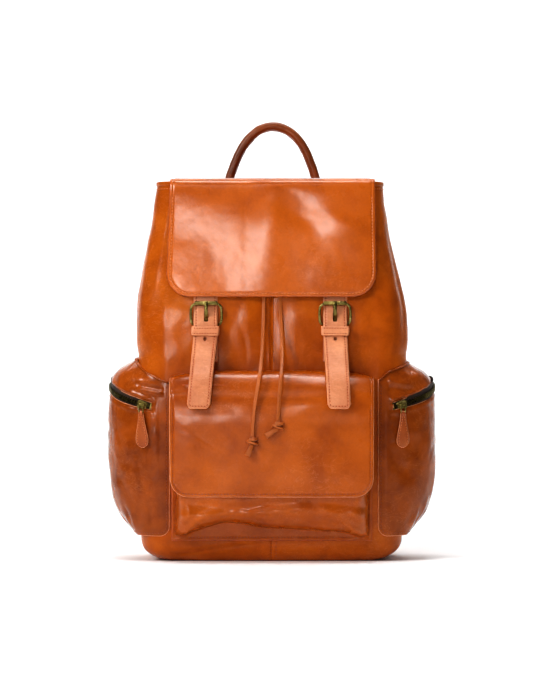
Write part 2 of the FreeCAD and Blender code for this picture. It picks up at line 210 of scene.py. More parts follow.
def tube(name, pts, radius, mat, sides=12, closed=False, flat=None, up=None, cap=True, twist=None):
    """Round (or flat: (half width, half height)) bar along points in mm, with a steady frame."""
    pts = np.asarray(pts, float)
    N = len(pts)
    T = np.zeros_like(pts)
    if closed:
        T = np.roll(pts, -1, 0) - np.roll(pts, 1, 0)
    else:
        T[1:-1] = pts[2:] - pts[:-2]
        T[0] = pts[1] - pts[0]
        T[-1] = pts[-1] - pts[-2]
    T /= np.linalg.norm(T, axis=1, keepdims=True) + 1e-12
    rad = np.full(N, radius, float) if np.isscalar(radius) else np.asarray(radius, float)
    verts, faces = [], []
    u = np.array((0.0, 0.0, 1.0))
    if up is None and abs(T[0][2]) > 0.95:
        u = np.array((1.0, 0, 0))
    for i in range(N):
        if up is not None:
            u0 = np.asarray(up if np.ndim(up) == 1 else up[i], float)
            a = u0 - T[i] * np.dot(u0, T[i])
        else:
            a = u - T[i] * np.dot(u, T[i])
        a /= np.linalg.norm(a) + 1e-12
        u = a
        b = np.cross(T[i], a)
        for k in range(sides):
            g = 2 * math.pi * k / sides
            if flat is None:
                v = (a * math.cos(g) + b * math.sin(g)) * rad[i]
            else:
                c, s = math.cos(g), math.sin(g)
                e = 0.55
                cc = math.copysign(abs(c) ** e, c)
                ss = math.copysign(abs(s) ** e, s)
                v = (a * ss * flat[1] + b * cc * flat[0]) * rad[i]
            verts.append(pts[i] + v)
    M = N if closed else N - 1
    for i in range(M):
        j = (i + 1) % N
        for k in range(sides):
            l = (k + 1) % sides
            faces.append((i * sides + k, i * sides + l, j * sides + l, j * sides + k))
    if not closed and cap:
        verts.append(pts[0]); verts.append(pts[-1])
        c0, c1 = len(verts) - 2, len(verts) - 1
        for k in range(sides):
            l = (k + 1) % sides
            faces.append((c0, l, k))
            faces.append((c1, (N - 1) * sides + k, (N - 1) * sides + l))
    return make(name, verts, faces, mat)


def resample(pts, step):
    pts = np.asarray(pts, float)
    seg = np.linalg.norm(np.diff(pts, axis=0), axis=1)
    s = np.concatenate([[0], np.cumsum(seg)])
    n = max(2, int(round(s[-1] / step)) + 1)
    q = np.linspace(0, s[-1], n)
    return np.stack([np.interp(q, s, pts[:, k]) for k in range(3)], 1)


def bend(pts, rounds=3):
    """Chaikin rounding of an open polyline, ends kept."""
    pts = np.asarray(pts, float)
    for _ in range(rounds):
        q = [pts[0]]
        for a, b in zip(pts[:-1], pts[1:]):
            q += [a * 0.75 + b * 0.25, a * 0.25 + b * 0.75]
        q.append(pts[-1])
        pts = np.array(q)
    return pts


def join(name, objs):
    """One object from several, under the given name."""
    bm = bmesh.new()
    mats, out = [], []
    for o in objs:
        base = len(bm.verts)
        me = o.data
        loc = []
        for m in me.materials:
            if m not in mats:
                mats.append(m)
            loc.append(mats.index(m))
        vs = [bm.verts.new(v.co) for v in me.vertices]
        for p in me.polygons:
            try:
                f = bm.faces.new([vs[i] for i in p.vertices])
            except ValueError:
                continue
            f.material_index = loc[p.material_index] if loc else 0
            f.smooth = p.use_smooth
    me = bpy.data.meshes.new(name)
    bm.to_mesh(me)
    bm.free()
    for m in mats:
        me.materials.append(m)
    for o in objs:
        d = o.data
        bpy.data.objects.remove(o)
        bpy.data.meshes.remove(d)
    ob = bpy.data.objects.new(name, me)
    SCN.collection.objects.link(ob)
    return ob


_st_ring = []
for _i, (_c, _r) in enumerate(((-1.0, 0.0), (-0.86, 0.62), (-0.4, 1.0), (0.4, 1.0), (0.86, 0.62), (1.0, 0.0))):
    _st_ring.append((_c, _r))


def stitches(name, lines, mat, pitch=4.1, length=3.1, r=0.42, sink=0.1, slant=0.0):
    """Thread stitches along lines. Each line is (points, normals) in mm on the leather's face."""
    verts, faces = [], []
    for pts, nrm in lines:
        pts = np.asarray(pts, float)
        seg = np.linalg.norm(np.diff(pts, axis=0), axis=1)
        s = np.concatenate([[0], np.cumsum(seg)])
        n = int(s[-1] // pitch)
        if n < 1:
            continue
        st = s[-1] / n
        nrm = np.broadcast_to(np.asarray(nrm, float), pts.shape)
        for k in range(n):
            m = (k + 0.5) * st
            c = np.array([np.interp(m, s, pts[:, q]) for q in range(3)])
            a = np.array([np.interp(m - length / 2, s, pts[:, q]) for q in range(3)])
            b = np.array([np.interp(m + length / 2, s, pts[:, q]) for q in range(3)])
            nn = np.array([np.interp(m, s, nrm[:, q]) for q in range(3)])
            nn /= np.linalg.norm(nn) + 1e-12
            d = b - a
            d /= np.linalg.norm(d) + 1e-12
            w = np.cross(d, nn)
            if slant:
                d = d + w * slant
                d /= np.linalg.norm(d)
                w = np.cross(d, nn)
            base = len(verts)
            for c_, r_ in _st_ring:
                rr = r * r_
                q = c + d * (length / 2 * c_) + nn * (r * (0.35 if abs(c_) < 0.5 else -0.1 if abs(c_) < 0.9 else -0.6) - sink)
                if r_ == 0.0:
                    verts.append(q)
                else:
                    for g in range(6):
                        an = math.pi * 2 * g / 6
                        verts.append(q + w * (rr * math.cos(an)) + nn * (rr * 0.8 * math.sin(an)))
            i0 = base
            i5 = base + 1 + 4 * 6
            for g in range(6):
                h = (g + 1) % 6
                faces.append((i0, base + 1 + h, base + 1 + g))
                faces.append((i5, base + 19 + g, base + 19 + h))
                for ring_i in range(3):
                    p = base + 1 + ring_i * 6
                    faces.append((p + g, p + h, p + 6 + h, p + 6 + g))
    return make(name, verts, faces, mat)


def boolean_cut(ob, cutters):
    cut = join(ob.name + "_cut", cutters) if len(cutters) > 1 else cutters[0]
    m = ob.modifiers.new("cut", "BOOLEAN")
    m.operation = "DIFFERENCE"
    m.solver = "EXACT"
    m.object = cut
    dg = bpy.context.evaluated_depsgraph_get()
    me = bpy.data.meshes.new_from_object(ob.evaluated_get(dg), depsgraph=dg)
    ob.modifiers.clear()
    old = ob.data
    ob.data = me
    bpy.data.meshes.remove(old)
    d = cut.data
    bpy.data.objects.remove(cut)
    bpy.data.meshes.remove(d)


# -------------------------------------------------------------- materials
def lin(r, g, b):
    f = lambda c: (c / 255 / 12.92) if c / 255 <= 0.04045 else ((c / 255 + 0.055) / 1.055) ** 2.4
    return (f(r), f(g), f(b), 1.0)


class Nodes:
    def __init__(self, name):
        self.m = bpy.data.materials.new(name)
        self.m.use_nodes = True
        self.t = self.m.node_tree
        self.b = self.t.nodes["Principled BSDF"]
        self.tc = self.t.nodes.new("ShaderNodeTexCoord")

    def n(self, kind, **kw):
        x = self.t.nodes.new(kind)
        for k, v in kw.items():
            if hasattr(x, k) and not k[0].isupper():
                setattr(x, k, v)
            else:
                x.inputs[k.replace("_", " ")].default_value = v
        return x

    def l(self, a, b):
        self.t.links.new(a, b)

    def obj(self, scale=None, rot=None):
        if scale is None and rot is None:
            return self.tc.outputs["Object"]
        mp = self.n("ShaderNodeMapping")
        if scale is not None:
            mp.inputs["Scale"].default_value = scale
        if rot is not None:
            mp.inputs["Rotation"].default_value = rot
        self.l(self.tc.outputs["Object"], mp.inputs["Vector"])
        return mp.outputs["Vector"]

    def noise(self, scale, detail=3.0, rough=0.5, distort=0.0, vec=None, kind="FBM"):
        x = self.n("ShaderNodeTexNoise")
        x.noise_type = kind
        if kind != "FBM":
            x.normalize = False if hasattr(x, "normalize") and kind in () else x.normalize
        x.inputs["Scale"].default_value = scale
        x.inputs["Detail"].default_value = detail
        x.inputs["Roughness"].default_value = rough
        x.inputs["Distortion"].default_value = distort
        self.l(vec if vec is not None else self.obj(), x.inputs["Vector"])
        return x.outputs["Fac"] if "Fac" in x.outputs else x.outputs[0]

    def ramp(self, src, stops):
        x = self.n("ShaderNodeValToRGB")
        e = x.color_ramp.elements
        while len(e) < len(stops):
            e.new(0.5)
        for k, (p, c) in enumerate(stops):
            e[k].position = p
            e[k].color = c if len(c) == 4 else (*c, 1)
        self.l(src, x.inputs["Fac"])
        return x.outputs["Color"]

    def mix(self, fac, a, b, blend="MIX"):
        x = self.n("ShaderNodeMix", data_type="RGBA", blend_type=blend)
        if isinstance(fac, (int, float)):
            x.inputs["Factor"].default_value = fac
        else:
            self.l(fac, x.inputs["Factor"])
        for v, s in ((a, "A"), (b, "B")):
            sock = [i for i in x.inputs if i.name == s and i.type == "RGBA"][0]
            if isinstance(v, tuple):
                sock.default_value = v
            else:
                self.l(v, sock)
        return [o for o in x.outputs if o.type == "RGBA"][0]

    def range(self, src, a, b, c, d, clamp=True):
        x = self.n("ShaderNodeMapRange", clamp=clamp)
        x.inputs["From Min"].default_value = a
        x.inputs["From Max"].default_value = b
        x.inputs["To Min"].default_value = c
        x.inputs["To Max"].default_value = d
        self.l(src, x.inputs["Value"])
        return x.outputs["Result"]

    def bump(self, height, strength, distance, prev=None):
        x = self.n("ShaderNodeBump")
        x.inputs["Strength"].default_value = strength
        x.inputs["Distance"].default_value = distance
        self.l(height, x.inputs["Height"])
        if prev is not None:
            self.l(prev, x.inputs["Normal"])
        return x.outputs["Normal"]

    def math(self, op, a, b=None):
        x = self.n("ShaderNodeMath", operation=op)
        for k, v in enumerate((a, b)):
            if v is None:
                continue
            if isinstance(v, (int, float)):
                x.inputs[k].default_value = v
            else:
                self.l(v, x.inputs[k])
        return x.outputs[0]


def leather(name, mid, dark, light, rough=(0.26, 0.42), coat=0.3, coat_rough=0.22, grain=1.0, crease=1.0, spec=0.5, pale=None, mottle=1.0):
    q = Nodes(name)
    big = q.noise(7.0, 3.0, 0.55, 0.6)
    medn = q.noise(34.0, 4.0, 0.6, 0.4)
    fine = q.noise(420.0, 3.0, 0.6)
    col = q.ramp(big, [(0.30, dark), (0.5, mid), (0.72, light)])
    spots = q.ramp(medn, [(0.28, dark), (0.52, mid), (0.78, light)])
    col = q.mix(0.45 * mottle, col, spots)
    # creases: pulled-up leather is paler along fine broken lines
    wv = q.obj(scale=(1.0, 1.0, 1.7))
    lines = q.noise(48.0, 5.0, 0.62, 1.1, wv)
    ln = q.ramp(lines, [(0.0, (0, 0, 0)), (0.485, (0, 0, 0)), (0.5, (1, 1, 1)), (0.515, (0, 0, 0))])
    mask = q.ramp(q.noise(11.0, 2.0, 0.5), [(0.42, (0, 0, 0)), (0.66, (1, 1, 1))])
    lnm = q.mix(1.0, ln, mask, "MULTIPLY")
    fac = q.math("MULTIPLY", lnm, 0.24 * crease)
    col = q.mix(fac, col, pale or light)
    tone = q.ramp(fine, [(0.25, (0.86, 0.84, 0.82)), (0.6, (1, 1, 1)), (0.85, (1.0, 1.0, 1.0))])
    col = q.mix(0.7, col, tone, "MULTIPLY")
    q.l(col, q.b.inputs["Base Color"])
    r = q.range(q.noise(26.0, 4.0, 0.6), 0.3, 0.75, rough[0], rough[1])
    q.l(r, q.b.inputs["Roughness"])
    vor = q.n("ShaderNodeTexVoronoi", feature="DISTANCE_TO_EDGE")
    vor.inputs["Scale"].default_value = 1150.0
    wob = q.n("ShaderNodeMix", data_type="VECTOR")
    q.l(q.tc.outputs["Object"], vor.inputs["Vector"])
    q.t.nodes.remove(wob)
    pores = q.range(vor.outputs["Distance"], 0.0, 0.25, 0.0, 1.0)
    n1 = q.bump(pores, 0.07 * grain, 0.00014)
    n2 = q.bump(fine, 0.12 * grain, 0.0003, n1)
    n3 = q.bump(lines, 0.10 * crease, 0.0008, n2)
    n4 = q.bump(medn, 0.12, 0.0016, n3)
    q.l(n4, q.b.inputs["Normal"])
    # the glaze on top smooths over the pores but follows the creases
    c1 = q.bump(lines, 0.07 * crease, 0.0007)
    c2 = q.bump(medn, 0.11, 0.0014, c1)
    q.l(c2, q.b.inputs["Coat Normal"])
    q.b.inputs["Coat Weight"].default_value = coat
    q.b.inputs["Coat Roughness"].default_value = coat_rough
    q.b.inputs["Specular IOR Level"].default_value = spec
    return q.m


TAN = dict(mid=lin(178, 90, 12), dark=lin(128, 54, 5), light=lin(200, 112, 30), pale=lin(226, 146, 92))
M_BODY = leather("leather_body", **TAN, rough=(0.22, 0.30), coat=0.34, coat_rough=0.20, spec=0.10)
M_FLAP = leather("leather_flap", mid=lin(190, 97, 13), dark=lin(156, 71, 7), light=lin(208, 110, 30), pale=lin(228, 148, 96), rough=(0.24, 0.32), coat=0.85, coat_rough=0.23, crease=1.0, spec=0.20)
M_POCKET = leather("leather_pocket", mid=lin(174, 88, 12), dark=lin(134, 57, 6), light=lin(200, 108, 32), pale=lin(230, 152, 100), rough=(0.24, 0.32), coat=0.62, coat_rough=0.22, spec=0.10)
# side-pocket leather: a darker copy of the body leather, painted shade on the side-facing pockets
M_SIDE_SHADE = leather("leather_side_pocket_painted_shade", mid=lin(150, 74, 10), dark=lin(104, 43, 5), light=lin(184, 94, 24), pale=lin(220, 140, 84), rough=(0.20, 0.30), coat=0.42, coat_rough=0.19, crease=1.2, mottle=1.5, spec=0.10)
# base leather: a darker copy of the body leather, painted shade for the bottom of the bag
M_BASE_SHADE = leather("leather_base_painted_shade", mid=lin(96, 47, 9), dark=lin(66, 29, 5), light=lin(128, 65, 16), pale=lin(200, 120, 70), rough=(0.24, 0.34), coat=0.3, coat_rough=0.2, spec=0.10)
M_STRAP = leather("leather_strap", mid=lin(208, 138, 98), dark=lin(182, 108, 68), light=lin(240, 170, 124), pale=lin(246, 196, 160), rough=(0.38, 0.52), coat=0.1, coat_rough=0.35, crease=1.3, spec=0.4)
M_HANDLE = leather("leather_handle", mid=lin(128, 66, 22), dark=lin(76, 34, 9), light=lin(176, 94, 40), pale=lin(218, 140, 88), rough=(0.32, 0.48), coat=0.2, coat_rough=0.3, crease=1.8, spec=0.4)
M_LACE = leather("leather_lace", mid=lin(176, 98, 40), dark=lin(138, 66, 20), light=lin(214, 122, 62), pale=lin(228, 156, 108), rough=(0.4, 0.55), coat=0.05, coat_rough=0.4, crease=0.6, spec=0.4)
M_PAD = leather("leather_padded", mid=lin(166, 82, 14), dark=lin(128, 56, 8), light=lin(198, 96, 26), pale=lin(222, 146, 92), rough=(0.36, 0.5), coat=0.12, coat_rough=0.35, spec=0.4)
M_PULL = leather("leather_puller", mid=lin(160, 80, 24), dark=lin(124, 54, 12), light=lin(186, 106, 44), pale=lin(226, 146, 96), rough=(0.34, 0.46), coat=0.2, coat_rough=0.3, spec=0.4)


def simple(name, a, b, scale, rough=(0.6, 0.8), metallic=0.0, bump=0.3, dist=0.0004, detail=4.0, sheen=0.0):
    q = Nodes(name)
    n = q.noise(scale, detail, 0.6)
    q.l(q.ramp(n, [(0.3, a), (0.72, b)]), q.b.inputs["Base Color"])
    q.l(q.range(q.noise(scale * 0.6, 3.0), 0.3, 0.7, rough[0], rough[1]), q.b.inputs["Roughness"])
    q.l(q.bump(n, bump, dist), q.b.inputs["Normal"])
    q.b.inputs["Metallic"].default_value = metallic
    if sheen:
        q.b.inputs["Sheen Weight"].default_value = sheen
    return q.m


M_EDGE = simple("raw_edge", lin(214, 134, 88), lin(240, 178, 136), 300, (0.55, 0.7), bump=0.35)
# dark dyed edge colour; on the main flap's rim it also stands for painted shade
M_EDGE_DARK = simple("dyed_edge_and_flap_shade", lin(150, 66, 24), lin(190, 96, 44), 300, (0.45, 0.6), bump=0.3)
M_SUEDE = simple("flesh_side", lin(150, 92, 52), lin(186, 124, 78), 700, (0.85, 0.95), bump=0.5, dist=0.0003, sheen=0.2)
M_THREAD = simple("thread_tan", lin(196, 108, 50), lin(226, 140, 84), 2600, (0.55, 0.7), bump=0.6, dist=0.0002)
M_THREAD_DARK = simple("thread_brown", lin(120, 52, 18), lin(164, 82, 34), 2600, (0.55, 0.7), bump=0.6, dist=0.0002)
M_THREAD_STRAP = simple("thread_strap", lin(146, 60, 16), lin(184, 88, 36), 2600, (0.55, 0.7), bump=0.6, dist=0.0002)
M_THREAD_PALE = simple("thread_pale", lin(196, 112, 56), lin(222, 144, 86), 2600, (0.55, 0.7), bump=0.6, dist=0.0002)
# near-black for the inside of holes: painted shade
M_HOLE_SHADE = simple("punched_hole_painted_shade", lin(20, 10, 5), lin(40, 20, 9), 500, (0.9, 1.0))
M_CORE = simple("board_fibre", lin(90, 70, 50), lin(120, 96, 72), 400, (0.85, 0.95))


def brass(name, tone=1.0, worn=0.6):
    q = Nodes(name)
    a = lin(92 * tone, 82 * tone, 46 * tone)
    b = lin(min(255, 200 * tone), min(255, 184 * tone), min(255, 128 * tone))
    n = q.noise(130.0, 5.0, 0.65, 0.5)
    col = q.ramp(n, [(0.32, a), (0.5 + 0.1 * worn, lin(142 * tone, 128 * tone, 76 * tone)), (0.8, b)])
    q.l(col, q.b.inputs["Base Color"])
    q.l(q.range(q.noise(420.0, 4.0, 0.6), 0.3, 0.7, 0.22, 0.42), q.b.inputs["Roughness"])
    st = q.noise(900.0, 2.0, 0.5, 0.0, q.obj(scale=(0.12, 1.0, 1.0)))
    q.l(q.bump(st, 0.12, 0.0002, q.bump(n, 0.1, 0.0003)), q.b.inputs["Normal"])
    q.b.inputs["Metallic"].default_value = 1.0
    return q.m


M_BRASS = brass("antique_brass")
M_BRASS_BRIGHT = brass("worn_brass", 1.0)
M_BRASS_DARK = brass("dark_brass", 0.66)


def weave(name, a, b, pitch, rough=0.85, bump=0.6, sheen=0.1):
    q = Nodes(name)
    outs = []
    for axis in ("X", "Z"):
        w = q.n("ShaderNodeTexWave", wave_type="BANDS", bands_direction=axis, wave_profile="SIN")
        w.inputs["Scale"].default_value = 1.0 / pitch * 0.314
        w.inputs["Distortion"].default_value = 0.4
        w.inputs["Detail"].default_value = 1.0
        q.l(q.obj(), w.inputs["Vector"])
        outs.append(w.outputs["Fac"])
    h = q.math("MULTIPLY", outs[0], outs[1])
    base = q.ramp(q.noise(60.0, 4.0), [(0.3, a), (0.75, b)])
    col = q.mix(q.math("MULTIPLY", h, 0.5), base, b)
    q.l(col, q.b.inputs["Base Color"])
    q.l(q.bump(h, bump, 0.0003), q.b.inputs["Normal"])
    q.l(q.range(q.noise(200.0), 0.3, 0.7, rough - 0.08, rough + 0.06), q.b.inputs["Roughness"])
    q.b.inputs["Sheen Weight"].default_value = sheen
    return q.m


M_LINING = weave("cotton_lining", lin(112, 84, 58), lin(146, 114, 82), 0.0011)
M_TAPE = weave("zip_tape_cloth", lin(44, 30, 22), lin(78, 56, 42), 0.0009)
M_MESH = weave("sleeve_cloth", lin(96, 72, 50), lin(128, 100, 74), 0.0014)


# ------------------------------------------------- camera, laces and knots
cam = bpy.data.cameras.new("camera")
cam.sensor_fit = "VERTICAL"
cam.sensor_height = 36.0
CAM_D = 3.50
cam.lens = 36.0 * (CAM_D - 0.07) / 0.7155
cam.clip_end = 50
cam_ob = bpy.data.objects.new("camera", cam)
SCN.collection.objects.link(cam_ob)
cam_ob.location = (0.0031, -CAM_D, 0.2267)
cam_ob.rotation_euler = (math.pi / 2, 0, 0)
SCN.camera = cam_ob

LACE_W = 3.9
ROUTES = {
    "left": [(-8, -55.5, 372), (-7.5, -58.6, 340), (-8.2, -60.6, 300), (-8.5, -62, 268), (-9.5, -73, 232), (-10.8, -89, 210), (-13.5, -107, 188.5), (-17.5, -107.8, 166), (-19.6, -107.6, 147), (-20.1, -107.8, 130)],
    "right": [(8, -55.5, 372), (7.5, -58.6, 340), (8.0, -60.6, 300), (8.6, -62, 268), (10.2, -73, 232), (10.6, -89, 210), (9.0, -107, 188.5), (7.0, -107.8, 166), (6.2, -107.6, 146)],
}


def nurbs_points(name, pts):
    cu = bpy.data.curves.new(name, "CURVE")
    cu.dimensions = "3D"
    sp = cu.splines.new("NURBS")
    sp.points.add(len(pts) - 1)
    for p, q in zip(sp.points, pts):
        p.co = (q[0] * MM, q[1] * MM, q[2] * MM, 1)
    sp.order_u = 3
    sp.use_endpoint_u = True
    sp.resolution_u = 14
    ob = bpy.data.objects.new(name, cu)
    SCN.collection.objects.link(ob)
    dg = bpy.context.evaluated_depsgraph_get()
    me = bpy.data.meshes.new_from_object(ob.evaluated_get(dg), depsgraph=dg)
    out = np.array([tuple(v.co) for v in me.vertices]) / MM
    bpy.data.meshes.remove(me)
    bpy.data.objects.remove(ob)
    bpy.data.curves.remove(cu)
    return out


def ribbon(name, pts, width, thick, mats, twist=None, step=None):
    """A flat lace along points: faces the front, turns by twist (degrees along it)."""
    pts = np.asarray(pts, float)
    N = len(pts)
    T = np.gradient(pts, axis=0)
    T /= np.linalg.norm(T, axis=1, keepdims=True)
    tw = np.radians(np.asarray(twist if twist is not None else np.zeros(N), float))
    prof = []
    w, h, r = width / 2, thick / 2, thick / 2 * 0.8
    for sx, sy, a0 in ((1, 1, 0), (-1, 1, 90), (-1, -1, 180), (1, -1, 270)):
        for k in range(4):
            a = math.radians(a0 + 30 * k)
            prof.append((sx * (w - r) + r * math.cos(a), sy * (h - r) + r * math.sin(a)))
    S = len(prof)
    verts, faces, mi = [], [], []
    for i in range(N):
        f = np.array((0.0, -1.0, 0.0))
        f = f - T[i] * np.dot(f, T[i])
        f /= np.linalg.norm(f)
        s = np.cross(T[i], f)
        c, d = math.cos(tw[i]), math.sin(tw[i])
        a = s * c + f * d
        b = -s * d + f * c
        for x, y in prof:
            verts.append(pts[i] + a * x + b * y)
    for i in range(N - 1):
        for k in range(S):
            l = (k + 1) % S
            faces.append((i * S + k, (i + 1) * S + k, (i + 1) * S + l, i * S + l))
            mi.append(1 if k in (0, 1, 2, 8, 9, 10, 15, 7) and False else 0)
    for e, i in ((0, 0), (1, N - 1)):
        c = len(verts)
        verts.append(pts[i])
        for k in range(S):
            l = (k + 1) % S
            faces.append((c, i * S + k, i * S + l) if e == 0 else (c, i * S + l, i * S + k))
            mi.append(1)
    ob = make(name, verts, faces, mats, mi)
    return ob


lace_obs, knot_obs = {}, {}
for side_name in ("left", "right"):
    pts = nurbs_points("lace_route", ROUTES[side_name])
    n = len(pts)
    s = np.linspace(0, 1, n)
    sg = -1 if side_name == "left" else 1
    tw = sg * (8 + 16 * np.sin(s * 7.0 + (0.5 if sg > 0 else 1.4)) * smooth(0.3, 0.6, s))
    ob = ribbon("drawstring_tail_" + side_name, pts, LACE_W, 1.7, [M_LACE, M_EDGE_DARK], tw)
    lace_obs[side_name] = (ob, pts)


def knot(side_name, at, lean):
    """A wrapped overhand knot and the flared end of the lace below it."""
    x, y, z = at
    parts = []
    # two turns of lace round the tail
    for k, (dz, rx, tilt) in enumerate(((-1.6, 4.1, 0.28), (-4.6, 4.6, -0.22))):
        loop = []
        for i in range(28):
            a = 2 * math.pi * i / 28
            loop.append((x + rx * math.cos(a), y - 0.1 + 2.9 * math.sin(a), z + dz + rx * tilt * math.cos(a) + 0.5 * math.sin(2 * a)))
        parts.append(tube("turn", loop, 1.0, M_LACE, sides=10, closed=True, flat=(1.25, 1.75), up=[(math.cos(2 * math.pi * i / 28), math.sin(2 * math.pi * i / 28), 0) for i in range(28)]))
    core = []
    for i in range(9):
        f = i / 8
        core.append((x, y, z + 1.5 - 8.5 * f))
    parts.append(tube("core", core, [0.6, 0.9, 1, 1, 1, 1, 1, 0.9, 0.5], M_LACE, sides=12, flat=(3.4, 2.3), up=(0, -1, 0)))
    # the end, flared and cut square, folded on itself
    ex, ez = lean
    end = [(x + ex * f, y - 0.6 - 1.0 * math.sin(f * 3.0), z - 6.0 + ez * f) for f in np.linspace(0, 1, 10)]
    parts.append(tube("end", end, np.linspace(0.78, 1.22, 10), M_LACE, sides=14, flat=(2.6, 1.35), up=(0.25 * (1 if ex < 0 else -1), -1, 0.1)))
    end2 = [(x + ex * f * 0.9 + 0.8, y + 0.6, z - 6.0 + ez * f * 0.86) for f in np.linspace(0, 1, 8)]
    parts.append(tube("end2", end2, np.linspace(0.7, 1.05, 8), M_LACE, sides=12, flat=(2.2, 0.9), up=(-0.3, -1, 0.1)))
    ob = join("knot_of_lace_" + side_name, parts)
    return ob


KN = {"left": knot("left", (-20.1, -107.9, 129.5), (-5.2, -11.5)), "right": knot("right", (6.2, -107.9, 145.5), (-12.6, -7.4))}
for side_name in ("left", "right"):
    ob, pts = lace_obs[side_name]
    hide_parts("lace_tail_" + side_name)
    if side_name == "left":
        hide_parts("lace_upper")
    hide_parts("knot_" + side_name)
    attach(KN[side_name], "lace_" + side_name)
    p = pts[np.argmin(np.abs(pts[:, 2] - 272))]
    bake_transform(ob)
    e = ROUTES[side_name][0]


# --------------------------------------------------------- stage and light
def stage():
    q = Nodes("paper_backdrop")
    # paper white round the bag, falling off to grey in front of the picture
    sep = q.n("ShaderNodeSeparateXYZ")
    q.l(q.obj(), sep.inputs["Vector"])
    g = q.range(sep.outputs["Y"], -2.1, -1.35, 0.0, 1.0)
    q.l(q.ramp(g, [(0.0, (0.50, 0.50, 0.50)), (1.0, (0.93, 0.93, 0.93))]), q.b.inputs["Base Color"])
    q.b.inputs["Roughness"].default_value = 0.9
    q.b.inputs["Specular IOR Level"].default_value = 0.1
    prof = [(-6.0, 0.0), (2.2, 0.0)]
    for k in range(1, 13):
        a = math.pi / 2 * k / 12
        prof.append((2.2 + 1.6 * math.sin(a), 1.6 - 1.6 * math.cos(a)))
    prof.append((3.8, 6.0))
    verts, faces = [], []
    for y, z in prof:
        half = 7000
        verts += [(-half, y * 1000, z * 1000), (half, y * 1000, z * 1000)]
    for i in range(len(prof) - 1):
        faces.append((2 * i, 2 * i + 1, 2 * i + 3, 2 * i + 2))
    ob = make("floor", verts, faces, q.m)
    return ob


FLOOR = stage()
w = bpy.data.worlds.new("studio")
SCN.world = w
w.use_nodes = True
wt = w.node_tree
bg = wt.nodes["Background"]
# an even grey world: strength 0.2 from every direction, the ramp has the same value at both ends
wtc = wt.nodes.new("ShaderNodeTexCoord")
wsep = wt.nodes.new("ShaderNodeSeparateXYZ")
wt.links.new(wtc.outputs["Generated"], wsep.inputs["Vector"])
wmr = wt.nodes.new("ShaderNodeMapRange")
wmr.interpolation_type = "SMOOTHSTEP"
wmr.inputs["From Min"].default_value = 0.05
wmr.inputs["From Max"].default_value = 0.70
wmr.inputs["To Min"].default_value = 0.20
wmr.inputs["To Max"].default_value = 0.20
wt.links.new(wsep.outputs["Y"], wmr.inputs["Value"])
wt.links.new(wmr.outputs["Result"], bg.inputs["Strength"])
bg.inputs["Color"].default_value = (1, 1, 1, 1)


def area(name, loc, target, size, power, color=(1, 1, 1), spread=180):
    li = bpy.data.lights.new(name, "AREA")
    li.shape = "RECTANGLE"
    li.size, li.size_y = size
    li.energy = power
    li.color = color
    li.spread = math.radians(spread)
    ob = bpy.data.objects.new(name, li)
    SCN.collection.objects.link(ob)
    ob.location = loc
    d = Vector(target) - Vector(loc)
    ob.rotation_euler = d.to_track_quat("-Z", "Y").to_euler()
    return ob


area("softbox_left", (-0.47, -2.80, 0.53), (0, 0, 0.28), (0.26, 0.38), 9.6)
area("softbox_front_top", (-0.5, -1.9, 1.75), (0, 0, 0.25), (1.3, 0.4), 3.5)
area("softbox_key", (-1.75, -1.75, 1.7), (0, 0, 0.25), (0.8, 0.8), 42)
area("wash_back", (0.0, 1.2, 2.9), (0, 3.6, 0.4), (5.0, 1.0), 132)
area("wash_floor", (0.0, -0.70, 2.6), (0, -0.60, 0), (1.0, 1.0), 4.0, spread=50)


# ------------------------------------------------------------------- body
ZK = [0, 27, 60, 120, 200, 231, 256, 275, 287, 300, 312, 325, 337, 349, 362, 374, 387, 397]
WL = [136.5, 138, 141, 141.5, 142.5, 142.8, 143.2, 142.2, 140.0, 137.8, 135.8, 132.8, 130.8, 127.8, 125.6, 124.3, 122.4, 120.4]
WR = [135.5, 137, 141, 141.5, 143.5, 143.6, 142.6, 140.0, 137.0, 134.0, 131.0, 127.8, 124.8, 122.4, 120.4, 118.4, 117.4, 116.6]
SEAM_X = -0.8
BACK_Y = 60.0
TOP_Z = 394.5
U_KEYS = (0.0, 0.42, 0.60, 0.80, 0.86, 1.0)


def front_y(z):
    return curve([-5, 0, 40, 205, 260, 320, 393, 400], [-65.5, -65.5, -65.2, -65.2, -62.6, -56.6, -50.6, -50.0], z)


